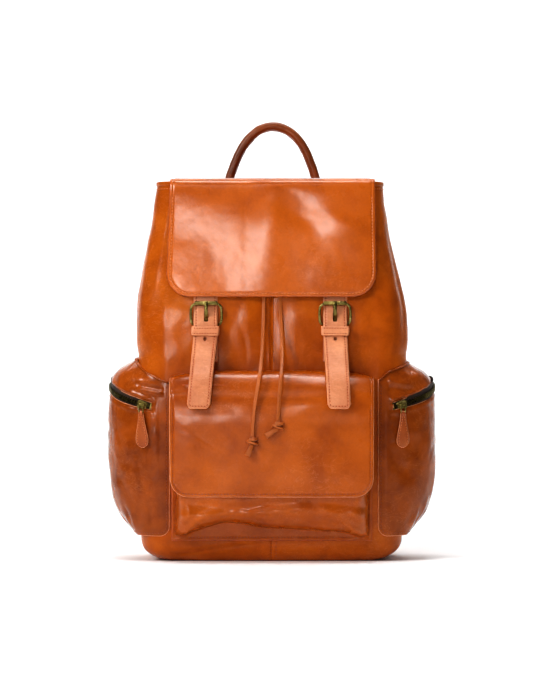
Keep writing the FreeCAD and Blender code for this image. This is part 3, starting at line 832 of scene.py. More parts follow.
def body(w, z, drop=0.0, back=0.0):
    """Point and outward normal of the bag's skin. w: -1..1 round the bag, 0 at the front seam, + to the right."""
    w, z = np.broadcast_arrays(np.asarray(w, float), np.asarray(z, float))
    u = np.abs(w)
    sg = np.where(w < 0, -1.0, 1.0)
    W = np.where(w < 0, curve(ZK, WL, z), curve(ZK, WR, z))
    F = front_y(z)
    Rf = curve([0, 60, 205, 300, 400], [30, 33, 34, 32, 27], z)
    Rb = 15.0
    k = U_KEYS
    x = np.zeros_like(z); y = np.zeros_like(z); nx = np.zeros_like(z); ny = np.zeros_like(z)
    a = u <= k[1]
    f = u / k[1]
    x = np.where(a, f * (W - Rf), x); y = np.where(a, F, y); ny = np.where(a, -1.0, ny)
    b = (u > k[1]) & (u <= k[2])
    g = (u - k[1]) / (k[2] - k[1]) * math.pi / 2
    x = np.where(b, W - Rf + Rf * np.sin(g), x); y = np.where(b, F + Rf - Rf * np.cos(g), y)
    nx = np.where(b, np.sin(g), nx); ny = np.where(b, -np.cos(g), ny)
    c = (u > k[2]) & (u <= k[3])
    f = (u - k[2]) / (k[3] - k[2])
    x = np.where(c, W, x); y = np.where(c, (F + Rf) * (1 - f) + (BACK_Y - Rb) * f, y); nx = np.where(c, 1.0, nx)
    d = (u > k[3]) & (u <= k[4])
    g = (u - k[3]) / (k[4] - k[3]) * math.pi / 2
    x = np.where(d, W - Rb + Rb * np.cos(g), x); y = np.where(d, BACK_Y - Rb + Rb * np.sin(g), y)
    nx = np.where(d, np.cos(g), nx); ny = np.where(d, np.sin(g), ny)
    e = u > k[4]
    f = (u - k[4]) / (1 - k[4])
    x = np.where(e, (W - Rb) * (1 - f), x); y = np.where(e, BACK_Y, y); ny = np.where(e, 1.0, ny)
    # the side sags in a little between its corners
    x = x - np.where(c, 1.6 * np.sin(np.clip((u - k[2]) / (k[3] - k[2]), 0, 1) * math.pi), 0) * smooth(60, 200, z)
    P = np.stack([x * sg + SEAM_X * (1 - smooth(0, 0.42, u)), y, z], -1)
    N = np.stack([nx * sg, ny, np.zeros_like(z)], -1)
    return P, N


def skin(w, q):
    """The visible skin with its folds. q runs 0 at the rim, then down; past 1 it turns under the base."""
    w, q = np.broadcast_arrays(np.asarray(w, float), np.asarray(q, float))
    a = curve([0, 0.36, 0.58, 0.75, 1.0], [15, 21, 31, 29, 20], np.abs(w))
    b = 23.0
    z = np.where(q <= 1, TOP_Z - q * (TOP_Z - b), b - b * np.sin((q - 1) * math.pi / 2))
    d = np.where(q <= 1, 0.0, a * (1 - np.cos(np.clip(q - 1, 0, 1) * math.pi / 2)))
    P, N = body(w, np.maximum(z, 0))
    P = P - N * d[..., None]
    P[..., 2] = z
    u = np.abs(w)
    right = w > 0
    n = 0.9 * fbm(P, (75, 60, 95), 3) + 0.35 * fbm(P, (26, 26, 38), 5)
    fade = smooth(0.0, 0.02, q) * (1 - 0.9 * smooth(1.5, 2.0, q))
    # swell of the front between the flap and the pocket, either side of the seam
    belly = 2.4 * np.exp(-((z - 262) / 34.0) ** 2) * (1 - smooth(0.36, 0.56, u)) * smooth(0.0, 0.10, u)
    # long soft folds down the corners, where the sides are pushed in
    g1 = np.where(right, 1.7, 1.2) * np.exp(-(((u - np.where(right, 0.47, 0.50) - 0.00035 * (z - 250)) / 0.030) ** 2)) * np.exp(-((z - 262) / 46.0) ** 2)
    g2 = -np.where(right, 2.0, 1.0) * np.exp(-(((u - np.where(right, 0.545, 0.565) - 0.0002 * (z - 250)) / 0.026) ** 2)) * np.exp(-((z - 285) / 60.0) ** 2)
    g3 = -1.6 * np.exp(-(((u - 0.405) / 0.022) ** 2)) * smooth(250, 340, z)
    g4 = 1.0 * np.exp(-(((u - 0.47) / 0.02) ** 2)) * smooth(260, 340, z)
    # pulled-in skin above the pockets
    g5 = -2.0 * np.exp(-((z - 214) / 9.0) ** 2) * smooth(0.44, 0.56, u) * (1 - smooth(0.74, 0.85, u))
    # the strip beside the centre seam stands a little proud, and the seam is a groove
    s1 = -0.9 * np.exp(-(((P[..., 0] - SEAM_X) / 0.8) ** 2)) * (u < 0.3)
    # crease along the foot of the bag
    line = 8.0 + 9.5 * smooth(-105, -20, P[..., 0]) - 2.0 * smooth(20, 90, P[..., 0])
    cr = -1.5 * np.exp(-(((z - line) / 1.4) ** 2)) * (u < 0.42) * (1 - smooth(-26, -8, P[..., 0])) + 0.8 * np.exp(-(((z - line - 4.0) / 3.2) ** 2)) * (u < 0.42) * (1 - smooth(-20, 0, P[..., 0]))
    low = 1.2 * np.exp(-((z - 10) / 9.0) ** 2) * np.sin(P[..., 0] / 23.0 + 0.6) * (u < 0.6)
    back = -0.7 * n * smooth(0.80, 0.9, u)
    D = (n + belly + g1 + g2 + g3 + g4 + g5 + low + back) * fade + s1 + cr
    rp = ridge(P, (30, 30, 44), 21, 9.0) * smooth(0.1, 0.5, noise3(P, 60, 8)) * 0.28
    D = D - rp * fade
    return P + N * D[..., None]


def skin_patch(name, w0, w1, cols, mats, t=2.2):
    qs = np.concatenate([np.linspace(0, 1, 150), 1 + np.linspace(0, 1, 22)[1:]])
    ws = np.linspace(w0, w1, cols)
    P = skin(ws[None, :], qs[:, None])
    return shell(name, P, t, mats), P


LM = [M_BODY, M_SUEDE, M_EDGE_DARK]
BF_L, P_L = skin_patch("body_front_left", -0.66, 0.0, 150, LM)
BF_R, P_R = skin_patch("body_front_right", 0.0, 0.66, 150, LM)
GU_R, PG_R = skin_patch("side_right", 0.66, 0.86, 56, LM)
GU_L, PG_L = skin_patch("side_left", -0.86, -0.66, 56, LM)
wb = np.concatenate([np.linspace(0.86, 1.0, 60)[:-1], np.linspace(-1.0, -0.86, 60)])


def back_patch():
    qs = np.concatenate([np.linspace(0, 1, 110), 1 + np.linspace(0, 1, 16)[1:]])
    P = skin(wb[None, :], qs[:, None])
    return shell("back", P, 2.2, LM), P


BK, P_B = back_patch()
for ob, nodes in ((BF_L, ("front_panel_left",)), (BF_R, ("front_panel_right",)), (GU_L, ("gusset_left",)), (GU_R, ("gusset_right",)), (BK, ("back_panel",))):
    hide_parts(*nodes)
    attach(ob, "bag")

# base: rings closing toward the middle
ring = np.concatenate([np.linspace(-1.0, 1.0, 161)])
edge_pts = skin(ring, np.full(161, 2.0))
mid = np.array([0.0, -2.0, 0.0])
rows = []
for f in np.linspace(0.0, 0.985, 26):
    p = edge_pts * (1 - f) + mid * f
    p[:, 2] = 0.05 + 0.7 * smooth(0.04, 0.4, f)
    rows.append(p)
# the base shell wears the darkened leather: painted shade on the bottom of the bag
BASE = shell("base", np.array(rows), 2.4, [M_BASE_SHADE, M_SUEDE, M_EDGE_DARK], wrap=True)
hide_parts("base_panel")
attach(BASE, "bag")

# stitch lines on the body
LINES = []
for sgn in (-1, 1):
    for k, off in ((-1, -2.35), (1, 2.35)):
        pass


def on_front(xs, zs, lift=0.25):
    """Skin points near given x and z on the flat of the front."""
    out = []
    for x, z in zip(xs, zs):
        W = curve(ZK, WL if x < 0 else WR, z)
        Rf = float(curve([0, 60, 205, 300, 400], [30, 33, 34, 32, 27], z))
        w = x / (W - Rf) * 0.42
        q = (TOP_Z - z) / (TOP_Z - 23.0) if z > 23 else 1 + math.asin(np.clip((23 - z) / 23.0, 0, 1)) / (math.pi / 2)
        for _ in range(3):
            p = skin(np.array([w]), np.array([q]))[0]
            w += (x - p[0]) / (W - Rf) * 0.42
        p = skin(np.array([w]), np.array([q]))[0]
        out.append(p + np.array([0, -lift, 0]))
    return np.array(out)


lines = []
for off in (-2.4, 2.4):
    zs = np.arange(388, 206, -2.0)
    lines.append((on_front(np.full(len(zs), SEAM_X + off), zs, 0.15), (0, -1, 0)))
    zs = np.arange(24, 4, -1.5)
    lines.append((on_front(np.full(len(zs), 2.6 + SEAM_X + off), zs, 0.15), (0, -0.9, -0.4)))
SEAM_ST = stitches("front_seam_stitches", lines, M_THREAD_DARK, pitch=3.1, length=2.3, r=0.36)
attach(SEAM_ST, "bag")

# rim: bound edge round the mouth
rim_w = np.linspace(-1, 1, 241)[:-1]
rp_, rn_ = body(rim_w, np.full(240, TOP_Z))
rim = skin(rim_w, np.full(240, 0.004)) - rn_ * 1.1
rim[:, 2] = TOP_Z + 0.1
RIM = tube("mouth_rim", rim, 1.0 + 0.05 * noise3(rim, 14, 4), M_BODY, sides=14, closed=True, flat=(2.1, 2.5), up=(0, 0, 1))
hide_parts("mouth_binding")
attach(RIM, "bag")
rs = skin(rim_w, np.full(240, 0.014)) + rn_ * 0.35
lines = [(np.vstack([rs, rs[:1]]), np.vstack([rn_, rn_[:1]]))]
RIM_ST = stitches("rim_stitches", lines, M_THREAD, pitch=4.0, length=3.0, r=0.38)
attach(RIM_ST, "bag")

# seam stitches where the sides meet the front and the back
lines = []
for w0 in (-0.86, 0.86, -0.66, 0.66):
    for dw in (-0.0075, 0.0075):
        q = np.linspace(0.02, 1.3, 150)
        p = skin(np.full(150, w0 + dw), q)
        nn = body(np.full(150, w0 + dw), p[:, 2])[1]
        lines.append((p + nn * 0.12, nn))
SIDE_ST = stitches("side_seam_stitches", lines, M_THREAD_DARK, pitch=4.0, length=3.0, r=0.38)
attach(SIDE_ST, "bag")

# stiffening board inside the base
bo = skin(np.linspace(-1, 1, 121), np.full(121, 1.75))
rows = []
for f in np.concatenate([np.linspace(0, 0.03, 3), np.linspace(0.1, 0.985, 12)]):
    p = bo * (1 - f - 0.03) + mid * (f + 0.03)
    p[:, 2] = 6.6
    rows.append(p)
BOARD = shell("base_stiffener", np.array(rows)[:, ::-1], 2.4, [M_CORE, M_CORE, M_CORE], wrap=True)
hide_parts("base_board")
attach(BOARD, "bag")

# lining
def lining():
    qs = np.concatenate([np.linspace(0.006, 1, 60), 1 + np.linspace(0, 0.42, 8)[1:]])
    ws = np.linspace(-1, 1, 181)
    w, q = np.meshgrid(ws, qs)
    P = skin(w, q)
    N = body(w, np.maximum(P[..., 2], 0))[1]
    P = P - N * (3.4 + 0.5 * fbm(P, (40, 40, 60), 31)[..., None] * smooth(0.0, 0.1, q)[..., None])
    rows = list(P)
    last = P[-1]
    for f in np.linspace(0.06, 0.985, 18):
        p = last * (1 - f) + np.array([0, -2.0, 0]) * f
        p[:, 2] = last[:, 2] * (1 - smooth(0, 0.12, f)) + 8.2 * smooth(0, 0.12, f)
        rows.append(p)
    return shell("lining_cloth", np.array(rows), 0.8, [M_LINING, M_LINING, M_LINING], wrap=True)


LIN = lining()
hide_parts("lining")
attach(LIN, "bag")


# eyelets at the rim
def torus(name, c, axis, R, r, mat, seg=40, sides=12, squash=1.0):
    c = np.asarray(c, float)
    ax = np.asarray(axis, float); ax /= np.linalg.norm(ax)
    t = np.cross(ax, (0, 0, 1.0))
    if np.linalg.norm(t) < 0.1:
        t = np.cross(ax, (1.0, 0, 0))
    t /= np.linalg.norm(t)
    b = np.cross(ax, t)
    pts = [c + R * (t * math.cos(a) + b * math.sin(a)) for a in np.linspace(0, 2 * math.pi, seg, endpoint=False)]
    return tube(name, pts, 1.0, mat, sides=sides, closed=True, flat=(r, r * squash), up=ax)


def cyl(name, c, axis, r, h, mat, seg=40, bevel=0.25):
    """Solid disc or pin, centre c, height h along axis, edges broken."""
    ax = np.asarray(axis, float); ax /= np.linalg.norm(ax)
    c = np.asarray(c, float)
    pr = [(-h / 2, r - bevel), (-h / 2 + bevel * 0.3, r - bevel * 0.3), (-h / 2 + bevel, r), (h / 2 - bevel, r), (h / 2 - bevel * 0.3, r - bevel * 0.3), (h / 2, r - bevel)]
    t = np.cross(ax, (0, 0, 1.0))
    if np.linalg.norm(t) < 0.1:
        t = np.cross(ax, (1.0, 0, 0))
    t /= np.linalg.norm(t)
    b = np.cross(ax, t)
    verts, faces = [], []
    for z, rr in pr:
        for k in range(seg):
            a = 2 * math.pi * k / seg
            verts.append(c + ax * z + (t * math.cos(a) + b * math.sin(a)) * rr)
    n = len(pr)
    verts += [c - ax * h / 2, c + ax * h / 2]
    for i in range(n - 1):
        for k in range(seg):
            l = (k + 1) % seg
            faces.append((i * seg + k, i * seg + l, (i + 1) * seg + l, (i + 1) * seg + k))
    for k in range(seg):
        l = (k + 1) % seg
        faces.append((n * seg, l, k))
        faces.append((n * seg + 1, (n - 1) * seg + k, (n - 1) * seg + l))
    ob = make(name, verts, faces, mat)
    return ob


eye_parts = []
for x in (-85, -45, -8, 8, 45, 85):
    p = on_front([x], [372.0], 0.2)[0]
    eye_parts.append(torus("e", (x, p[1] - 0.2, 372), (0, -1, 0.08), 3.9, 1.35, M_BRASS, squash=0.62))
    # a near-black disc fills each eyelet's hole: painted shade for the opening
    eye_parts.append(cyl("e", (x, p[1] + 0.6, 372), (0, -1, 0.08), 2.7, 1.2, M_HOLE_SHADE, seg=24))
EYE = join("eyelet_rings", eye_parts)
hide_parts("eyelets")
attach(EYE, "bag")


# ------------------------------------------------------- flaps and pockets
def card_distance(dx, dz, r):
    """How far inside a card with rounded lower corners a point lies."""
    both = (dx < r) & (dz < r)
    return np.where(both, r - np.hypot(np.maximum(r - dx, 0), np.maximum(r - dz, 0)), np.minimum(dx, dz))


def corner_rise(dx, r):
    return np.where(dx < r, r - np.sqrt(np.maximum(r * r - (r - dx) ** 2, 0)), 0.0)


EDGE_OFF = np.array([0, 0.3, 0.7, 1.2, 1.8, 2.3, 2.8, 3.3, 3.8, 4.5, 5.6, 7.2, 9.4])


def spread(total, n):
    """0..total with fine steps at both ends."""
    inner = np.linspace(EDGE_OFF[-1], total - EDGE_OFF[-1], n)[1:-1]
    return np.concatenate([EDGE_OFF, inner, total - EDGE_OFF[::-1]])


def bumps(x, z, items):
    out = 0
    for cx, cz, sx, sz, ang, amp in items:
        c, s = math.cos(math.radians(ang)), math.sin(math.radians(ang))
        a = (x - cx) * c + (z - cz) * s
        b = -(x - cx) * s + (z - cz) * c
        out = out + amp * np.exp(-(a / sx) ** 2 - (b / sz) ** 2)
    return out


# main flap ---------------------------------------------------------------
FLAP_TOP = bend([(47, -9, 398.4), (30, 0, 400.2), (-20, 0, 400.6), (-50, 0, 400.4), (-60.5, 0, 399.6), (-66.0, 0, 396.2), (-67.0, 0, 388), (-67.2, 0, 372)], 3)[:, (0, 2)]
FLAP_Z0 = 276.2
FLAP_R = 25.0
FLAP_BUMPS = [
    (58, 296, 22, 16, 20, 0.7),
    (92, 352, 14, 20, 0, 0.8),
    (96, 318, 16, 12, 0, 0.6),
]


def flap_edges(z):
    return curve([270, 400], [-110.2, -105.9], z), curve([270, 400], [108.3, 106.7], z)


def flap_front(x, z):
    """Outer face y of the hanging part of the main flap."""
    l, r = flap_edges(z)
    c = np.where(x < 0, x / -l, x / r)
    drop = smooth(402, 330, z)
    sp = lambda t, s: s * np.logaddexp(0, t / s)
    # the leather bows forward from its top edge and leans left of the middle
    zl = 388 - 0.36 * sp(x + 108, 4) + 0.66 * sp(x + 16, 6) - 0.24 * sp(x - 40, 6)
    low = 0.046 * (1 - 0.72 * smooth(-30, 5, x))
    h = 5.2 - low * (z - 276) - 0.110 * sp(z - zl, 6.0) * (1 - 0.35 * smooth(-30, 30, x))
    xb = -20 + 0.13 * (345 - z)
    h = h - 0.070 * sp(xb - x, 9) + 0.024 * sp(-58 - x, 8)
    h = h - 0.046 * (sp(x - xb, 9) - sp(x - xb - 36, 7)) - 0.030 * sp(x - 84, 5)
    # a slack diagonal hollow in the lower left
    xw = -72 + (345 - z) * 0.40
    xv = -74 - (345 - z) * 0.45
    h = h + 0.058 * (sp(xw - x, 4.5) - sp(xv - x, 10)) * smooth(352, 322, z)
    s = (x - 51) * 0.87 - (z - 356) * 0.49
    t = (x - 51) * 0.49 + (z - 356) * 0.87
    h = h + (2.3 * np.tanh(s / 21) + 0.036 * t) / (1 + (t / 15) ** 4) * np.exp(-(s / 48) ** 4)
    h = h + bumps(x, z, FLAP_BUMPS)
    p = np.stack([x, np.full_like(x, -67.0), z], -1)
    h = h + (0.16 * fbm(p, (30, 30, 30), 41) + 0.045 * fbm(p, (10, 10, 10), 42))
    # stretch wrinkles that run down and away from the top left and along the foot
    s = (x * 0.62 + z * 0.78)
    t = (x * 0.78 - z * 0.62)
    w1 = noise3(np.stack([s / 34, t / 4.2, np.zeros_like(s)], -1), 1.0, 51)
    h = h - 0.06 * np.abs(w1) * np.exp(-((x + 45) / 48) ** 2) * np.exp(-((z - 325) / 40) ** 2)
    w2 = noise3(np.stack([x / 26, (z + 4 * np.sin(x / 31)) / 3.4, np.zeros_like(s)], -1), 1.0, 52)
    h = h - 0.06 * np.abs(w2) * np.exp(-((z - 287) / 13) ** 2)
    dz = z - (FLAP_Z0 + corner_rise(np.minimum(x - l, r - x), FLAP_R) * 0)
    d = card_distance(np.minimum(x - l, r - x), dz, FLAP_R)
    h = h - 0.40 * np.exp(-((d - 3.1) / 0.75) ** 2) - 0.8 * np.exp(-d / 1.4) - 0.5 * np.exp(-d / 14.0)
    return -66.6 - h, d


def flap_mesh(name):
    l0, r0 = flap_edges(330)
    cols = spread(r0 - l0, 120)
    c = cols / (r0 - l0)
    top = resample(np.stack([FLAP_TOP[:, 0], np.zeros(len(FLAP_TOP)), FLAP_TOP[:, 1]], 1), 2.0)
    rows = []
    n_top = len(top) - 1
    # hanging part: rows by distance from the lower edge
    lower = EDGE_OFF[::-1]
    mids = np.linspace(0, 1, 66)
    for i in range(n_top):
        y, z = top[i][0], top[i][2]
        l, r = flap_edges(z)
        x = l + (r - l) * c
        p = np.stack([x, np.full_like(x, y), np.full_like(x, z)], -1)
        d = np.minimum(x - l, r - x)
        ed = 0.55 * np.exp(-((d - 3.1) / 0.75) ** 2) + 1.0 * np.exp(-d / 1.6)
        un = 0.25 * fbm(p, (40, 40, 40), 44)
        f = smooth(-52, -66, y)
        # blend from "down" to "in" as the leather turns the corner
        yy, _ = flap_front(x, np.full_like(x, z))
        p[:, 2] -= (ed - un) * (1 - f)
        if y < -40:
            p[:, 1] = y + (yy + 67.2) * smooth(-44, -66.5, y)
        rows.append(p)
    zt = top[n_top][2]
    for f in list(mids[:-1]) + list(lower):
        x0 = None
        if f in lower and len(rows) >= n_top + len(mids) - 1:
            off = f
            l, r = flap_edges(280.0)
            x = l + (r - l) * c
            zb = FLAP_Z0 + corner_rise(np.minimum(x - l, r - x), FLAP_R)
            z = zb + off
        else:
            l, r = flap_edges(330)
            x = l + (r - l) * c
            zb = FLAP_Z0 + corner_rise(np.minimum(x - l, r - x), FLAP_R) + lower[0]
            z = zt + (zb - zt) * f
        l, r = flap_edges(z)
        x = l + (r - l) * c
        y, _ = flap_front(x, z)
        rows.append(np.stack([x, y, z], -1))
    # the flap's rim takes the dark edge colour: dyed edge and painted shade
    return shell(name, np.array(rows), 2.6, [M_FLAP, M_SUEDE, M_EDGE_DARK])


FLAP = flap_mesh("main_flap_cover")
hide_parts("flap_panel")
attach(FLAP, "main_flap")


def card_line(z_top, z_bot, edges, radius, inset):
    """Left side down, round the two corners, right side up: x, z of a stitch line."""
    pts = []
    zs = np.arange(z_top, z_bot + radius, -1.5)
    for z in zs:
        pts.append((float(edges(z)[0]) + inset, z))
    l, r = (float(v) for v in edges(z_bot + 5))
    for a in np.linspace(0, math.pi / 2, 18):
        pts.append((l + radius - (radius - inset) * math.cos(a), z_bot + radius - (radius - inset) * math.sin(a)))
    for x in np.linspace(l + radius, r - radius, 90)[1:-1]:
        pts.append((x, z_bot + inset))
    for a in np.linspace(math.pi / 2, 0, 18):
        pts.append((r - radius + (radius - inset) * math.cos(a), z_bot + radius - (radius - inset) * math.sin(a)))
    for z in zs[::-1]:
        pts.append((float(edges(z)[1]) - inset, z))
    return np.array(pts)


pl = card_line(394.0, FLAP_Z0, flap_edges, FLAP_R, 3.1)
yy, _ = flap_front(pl[:, 0], pl[:, 1])
hang = pl[:, 1] < 381
line = np.stack([pl[:, 0], yy - 0.12, pl[:, 1]], -1)[hang]
FLAP_ST = stitches("main_flap_stitches", [(line, (0, -1, 0))], M_THREAD_PALE, pitch=3.35, length=2.5, r=0.45)
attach(FLAP_ST, "main_flap")

# pocket flap -------------------------------------------------------------
PF_Z0 = 69.2
PF_R = 18.5
PF_PROF = bend([(-64.2, 0, 196.8), (-74, 0, 198.4), (-85, 0, 197.2), (-94, 0, 191.5), (-100.2, 0, 181.5), (-102.9, 0, 168), (-103.4, 0, 152)], 3)[:, (0, 2)]
PF_BUMPS = [
    (0, 150, 80, 30, 0, 1.2),
    (-66, 104, 26, 30, 30, -1.3),
    (-84, 116, 20, 22, 30, 1.0),
    (30, 110, 40, 30, 0, 0.5),
    (78, 130, 26, 30, 0, -0.6),
    (-20, 174, 50, 11, 0, 0.8),
    (10, 80, 70, 9, 0, -0.5),
]


def pf_edges(z):
    z = np.asarray(z, float)
    return curve([60, 200], [-104.6, -105.6], z), curve([60, 200], [104.0, 105.0], z)


def pf_front(x, z):
    l, r = pf_edges(z)
    c = np.where(x < 0, x / -l, x / r)
    drop = smooth(188, 160, z)
    h = 1.7 * (1 - np.abs(c) ** 2.4) - 2.3 * np.clip((z - 150) / 36, 0, 1.1) ** 2
    h = h + (1.5 * np.tanh((x + 46) / 20) + 3.4 * np.tanh((x - 28) / 26) - 0.042 * x) * smooth(142, 168, z)
    h = h + bumps(x, z, PF_BUMPS) * drop
    p = np.stack([x, np.full_like(x, -103.0), z], -1)
    h = h + (0.16 * fbm(p, (34, 34, 30), 61) + 0.04 * fbm(p, (9, 9, 9), 62)) * drop
    s = (x * 0.80 - z * 0.60); t = (x * 0.60 + z * 0.80)
    w1 = noise3(np.stack([s / 30, t / 4.4, np.zeros_like(s)], -1), 1.0, 63)
    h = h - 0.09 * np.abs(w1) * np.exp(-((x + 78) / 30) ** 2) * np.exp(-((z - 128) / 24) ** 2)
    w2 = noise3(np.stack([x / 24, (z - 3 * np.sin(x / 27)) / 3.2, np.zeros_like(s)], -1), 1.0, 64)
    h = h - 0.075 * np.abs(w2) * (0.2 + np.exp(-((x - 40) / 50) ** 2) * np.exp(-((z - 140) / 30) ** 2))
    # the long diagonal crease
    cx, cz = x + 72.0, z - 128.0
    along = cx * 0.857 - cz * 0.515
    across = cx * 0.515 + cz * 0.857
    h = h - 0.32 * np.exp(-(across / 1.8) ** 2) * np.exp(-(along / 17.0) ** 2)
    d = card_distance(np.minimum(x - l, r - x), z - PF_Z0, PF_R)
    h = h - 0.5 * np.exp(-((d - 2.7) / 0.7) ** 2) - 0.9 * np.exp(-d / 1.5) - 0.6 * np.exp(-d / 8.0)
    return -102.4 - h, d


def pf_mesh():
    l0, r0 = pf_edges(130)
    cols = spread(r0 - l0, 116)
    c = cols / (r0 - l0)
    top = resample(np.stack([PF_PROF[:, 0], np.zeros(len(PF_PROF)), PF_PROF[:, 1]], 1), 1.6)
    rows = []
    n_top = len(top) - 1
    for i in range(n_top):
        y, z = top[i][0], top[i][2]
        l, r = pf_edges(z)
        x = l + (r - l) * c
        cc = np.abs(x) / 105.0
        sag = 5.0 * cc ** 5
        z_ = z - sag * smooth(-62, -75, y) * (1 - smooth(-98, -103, y)) - sag * (1 - smooth(-62, -75, y))
        d = np.minimum(x - l, r - x)
        ed = 0.5 * np.exp(-((d - 2.7) / 0.7) ** 2) + 0.9 * np.exp(-d / 1.5)
        p = np.stack([x, np.full_like(x, y), z_], -1)
        un = 0.45 * fbm(p, (30, 30, 30), 65) + 1.1 * (1 - cc ** 2.4)
        yy, _ = pf_front(x, np.full_like(x, z))
        f = smooth(-84, -103.0, y)
        p[:, 2] += (un - ed) * (1 - f) * smooth(-64, -70, y)
        p[:, 1] = y + (yy + 103.4) * f
        rows.append(p)
    zt = top[n_top][2]
    lower = EDGE_OFF[::-1]
    for kind, f in [("m", v) for v in np.linspace(0, 1, 66)[:-1]] + [("e", v) for v in lower]:
        l, r = pf_edges(100.0)
        x = l + (r - l) * c
        zb = PF_Z0 + corner_rise(np.minimum(x - l, r - x), PF_R)
        z = zb + f if kind == "e" else zt + (zb + lower[0] - zt) * f
        l, r = pf_edges(z)
        x = l + (r - l) * c
        y, _ = pf_front(x, z)
        rows.append(np.stack([x, y, z], -1))
    return shell("pocket_flap_cover", np.array(rows), 2.4, [M_POCKET, M_SUEDE, M_EDGE])


PFLAP = pf_mesh()
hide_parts("pocket_flap")
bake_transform(PFLAP)
pl = card_line(160.0, PF_Z0, pf_edges, PF_R, 2.7)
yy, _ = pf_front(pl[:, 0], pl[:, 1])
line = np.stack([pl[:, 0], yy - 0.12, pl[:, 1]], -1)
# points for rows over the shoulder of the pocket flap; this function is not called
def shoulder(side):
    out = []
    prof = resample(np.stack([PF_PROF[:, 0], np.zeros(len(PF_PROF)), PF_PROF[:, 1]], 1), 1.2)
    nrm = []
    for i in range(3, len(prof) - 1):
        y, z = prof[i][0], prof[i][2]
        if y > -76:
            continue
        e = pf_edges(z)[0 if side < 0 else 1]
        x = float(e) - side * 2.7
        cc = abs(x) / 105.0
        zz = z - 5.0 * cc ** 5 * (1 - smooth(-98, -103, y))
        t = prof[min(i + 1, len(prof) - 1)] - prof[i - 1]
        nn = np.array([0, t[2], -t[0]]); nn /= np.linalg.norm(nn)
        out.append((x, y, zz)); nrm.append(nn)
    return np.array(out), np.array(nrm)
PF_ST = stitches("pocket_flap_stitches", [(line, (0, -1, 0))], M_THREAD_DARK, pitch=3.3, length=2.4, r=0.42)
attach(PF_ST, "pocket_flap")

# front pocket ------------------------------------------------------------
FP_XL, FP_XR = -104.0, 103.5


def pocket_fold(x):
    return curve([-104, -96, -84, -66, -49, -28, -10, 20, 50, 70, 84, 94, 103.5], [27.5, 27.5, 31, 37, 41, 39.5, 36, 34.5, 32.5, 31.5, 29, 26.5, 27.0], x)


def front_pocket():
    xs = FP_XL + spread(FP_XR - FP_XL, 130)
    zs = np.concatenate([np.linspace(184, 70, 46)[:-1], np.linspace(70, 22.6, 84)])
    x, z = np.meshgrid(xs, zs)
    zf = pocket_fold(x)
    dl, dr = x - FP_XL, FP_XR - x
    dx = np.minimum(dl, dr)
    wx = 13.0 + 9.0 * smooth(70, 28, z)
    ux = np.clip((dx - 3.4) / wx, 0, 1)
    uz = np.clip((z - zf) / (24.0 + 6 * np.sin(x / 37.0)), 0, 1)
    p = 2.1
    ex = (1 - (1 - ux) ** p) ** (1 / p)
    ez = (1 - (1 - uz) ** p) ** (1 / p)
    hmax = 31.5 - 2.5 * smooth(120, 184, z)
    H = hmax * ex * ez
    q = np.stack([x, -65 - H, z], -1)
    amp = smooth(0.0, 0.35, np.minimum(ux, uz))
    H = H + (1.5 * fbm(q, (46, 60, 30), 71) + 0.35 * fbm(q, (14, 14, 12), 72)) * amp
    # soft horizontal swags above the foot, and the pinched corners
    H = H + 1.7 * np.exp(-((z - 50 - 4 * np.sin(x / 29.0 + 0.8)) / 6.5) ** 2) * amp - 2.2 * np.exp(-((z - 60 - 3 * np.sin(x / 24.0)) / 5.0) ** 2) * amp * smooth(-100, -60, x)
    for sx, x0 in ((1, FP_XL), (-1, FP_XR)):
        a = (x - x0) * sx
        rx, rz = a - 8.0, z - 25.0
        along = (rx * 0.78 + rz * 0.62)
        across = (-rx * 0.62 + rz * 0.78)
        H = H + 3.6 * np.exp(-(across / 3.2) ** 2) * np.exp(-((along - 12) / 13.0) ** 2)
        H = H - 2.6 * np.exp(-((across + 7.0) / 3.6) ** 2) * np.exp(-((along - 20) / 13.0) ** 2) * amp
        H = H - 2.2 * np.exp(-((across - 7.5) / 4.0) ** 2) * np.exp(-((along - 18) / 14.0) ** 2) * amp
    H = np.maximum(H, 0.0)
    # stitched flange: lies on the front
    y = -66.7 - H
    d = np.minimum(dx, z - 22.6)
    y = y + 0.45 * np.exp(-((d - 2.6) / 0.7) ** 2) * (H < 3)
    P = np.stack([x, y, z], -1)
    return shell("front_pocket_body", P, 1.9, [M_POCKET, M_LINING, M_EDGE_DARK]), P


FPO, FP_P = front_pocket()
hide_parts("front_pocket_panel", "front_pocket_gusset")
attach(FPO, "bag")


def fp_at(x, z):
    xs = FP_P[0, :, 0]; zs = FP_P[:, 0, 2]
    j = int(np.argmin(np.abs(xs - x))); i = int(np.argmin(np.abs(zs - z)))
    return FP_P[i, j, 1]


lines = []
zz = np.arange(150, 29, -1.5)
for x0 in (FP_XL + 2.6, FP_XR - 2.6):
    lines.append((np.array([(x0, fp_at(x0, z) - 0.12, z) for z in zz]), (0, -1, 0)))
xx = np.arange(-88, 90, 1.5)
lines.append((np.array([(x, fp_at(x, 25.6) - 0.12, 25.6) for x in xx]), (0, -1, 0)))
FP_ST = stitches("front_pocket_stitches", lines, M_THREAD_DARK, pitch=3.3, length=2.4, r=0.42)
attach(FP_ST, "bag")

# side pockets ------------------------------------------------------------
CX, CY = 113.2, -12.0


def behind(t):
    """Distance from the pocket's centre line to the skin of the bag."""
    dx, dy = np.sin(t), -np.cos(t)
    k = dx * 4.2 + dy * 20.2
    arc = -k + np.sqrt(np.maximum(k * k - 425.7 + 33.0 ** 2, 0))
    side = 29.0 / np.maximum(np.sin(t), 0.05)
    flat = 53.2 / np.maximum(np.cos(t), 0.05)
    return np.where(t < math.radians(-4.5), flat, np.where(t < math.radians(55), arc, side))


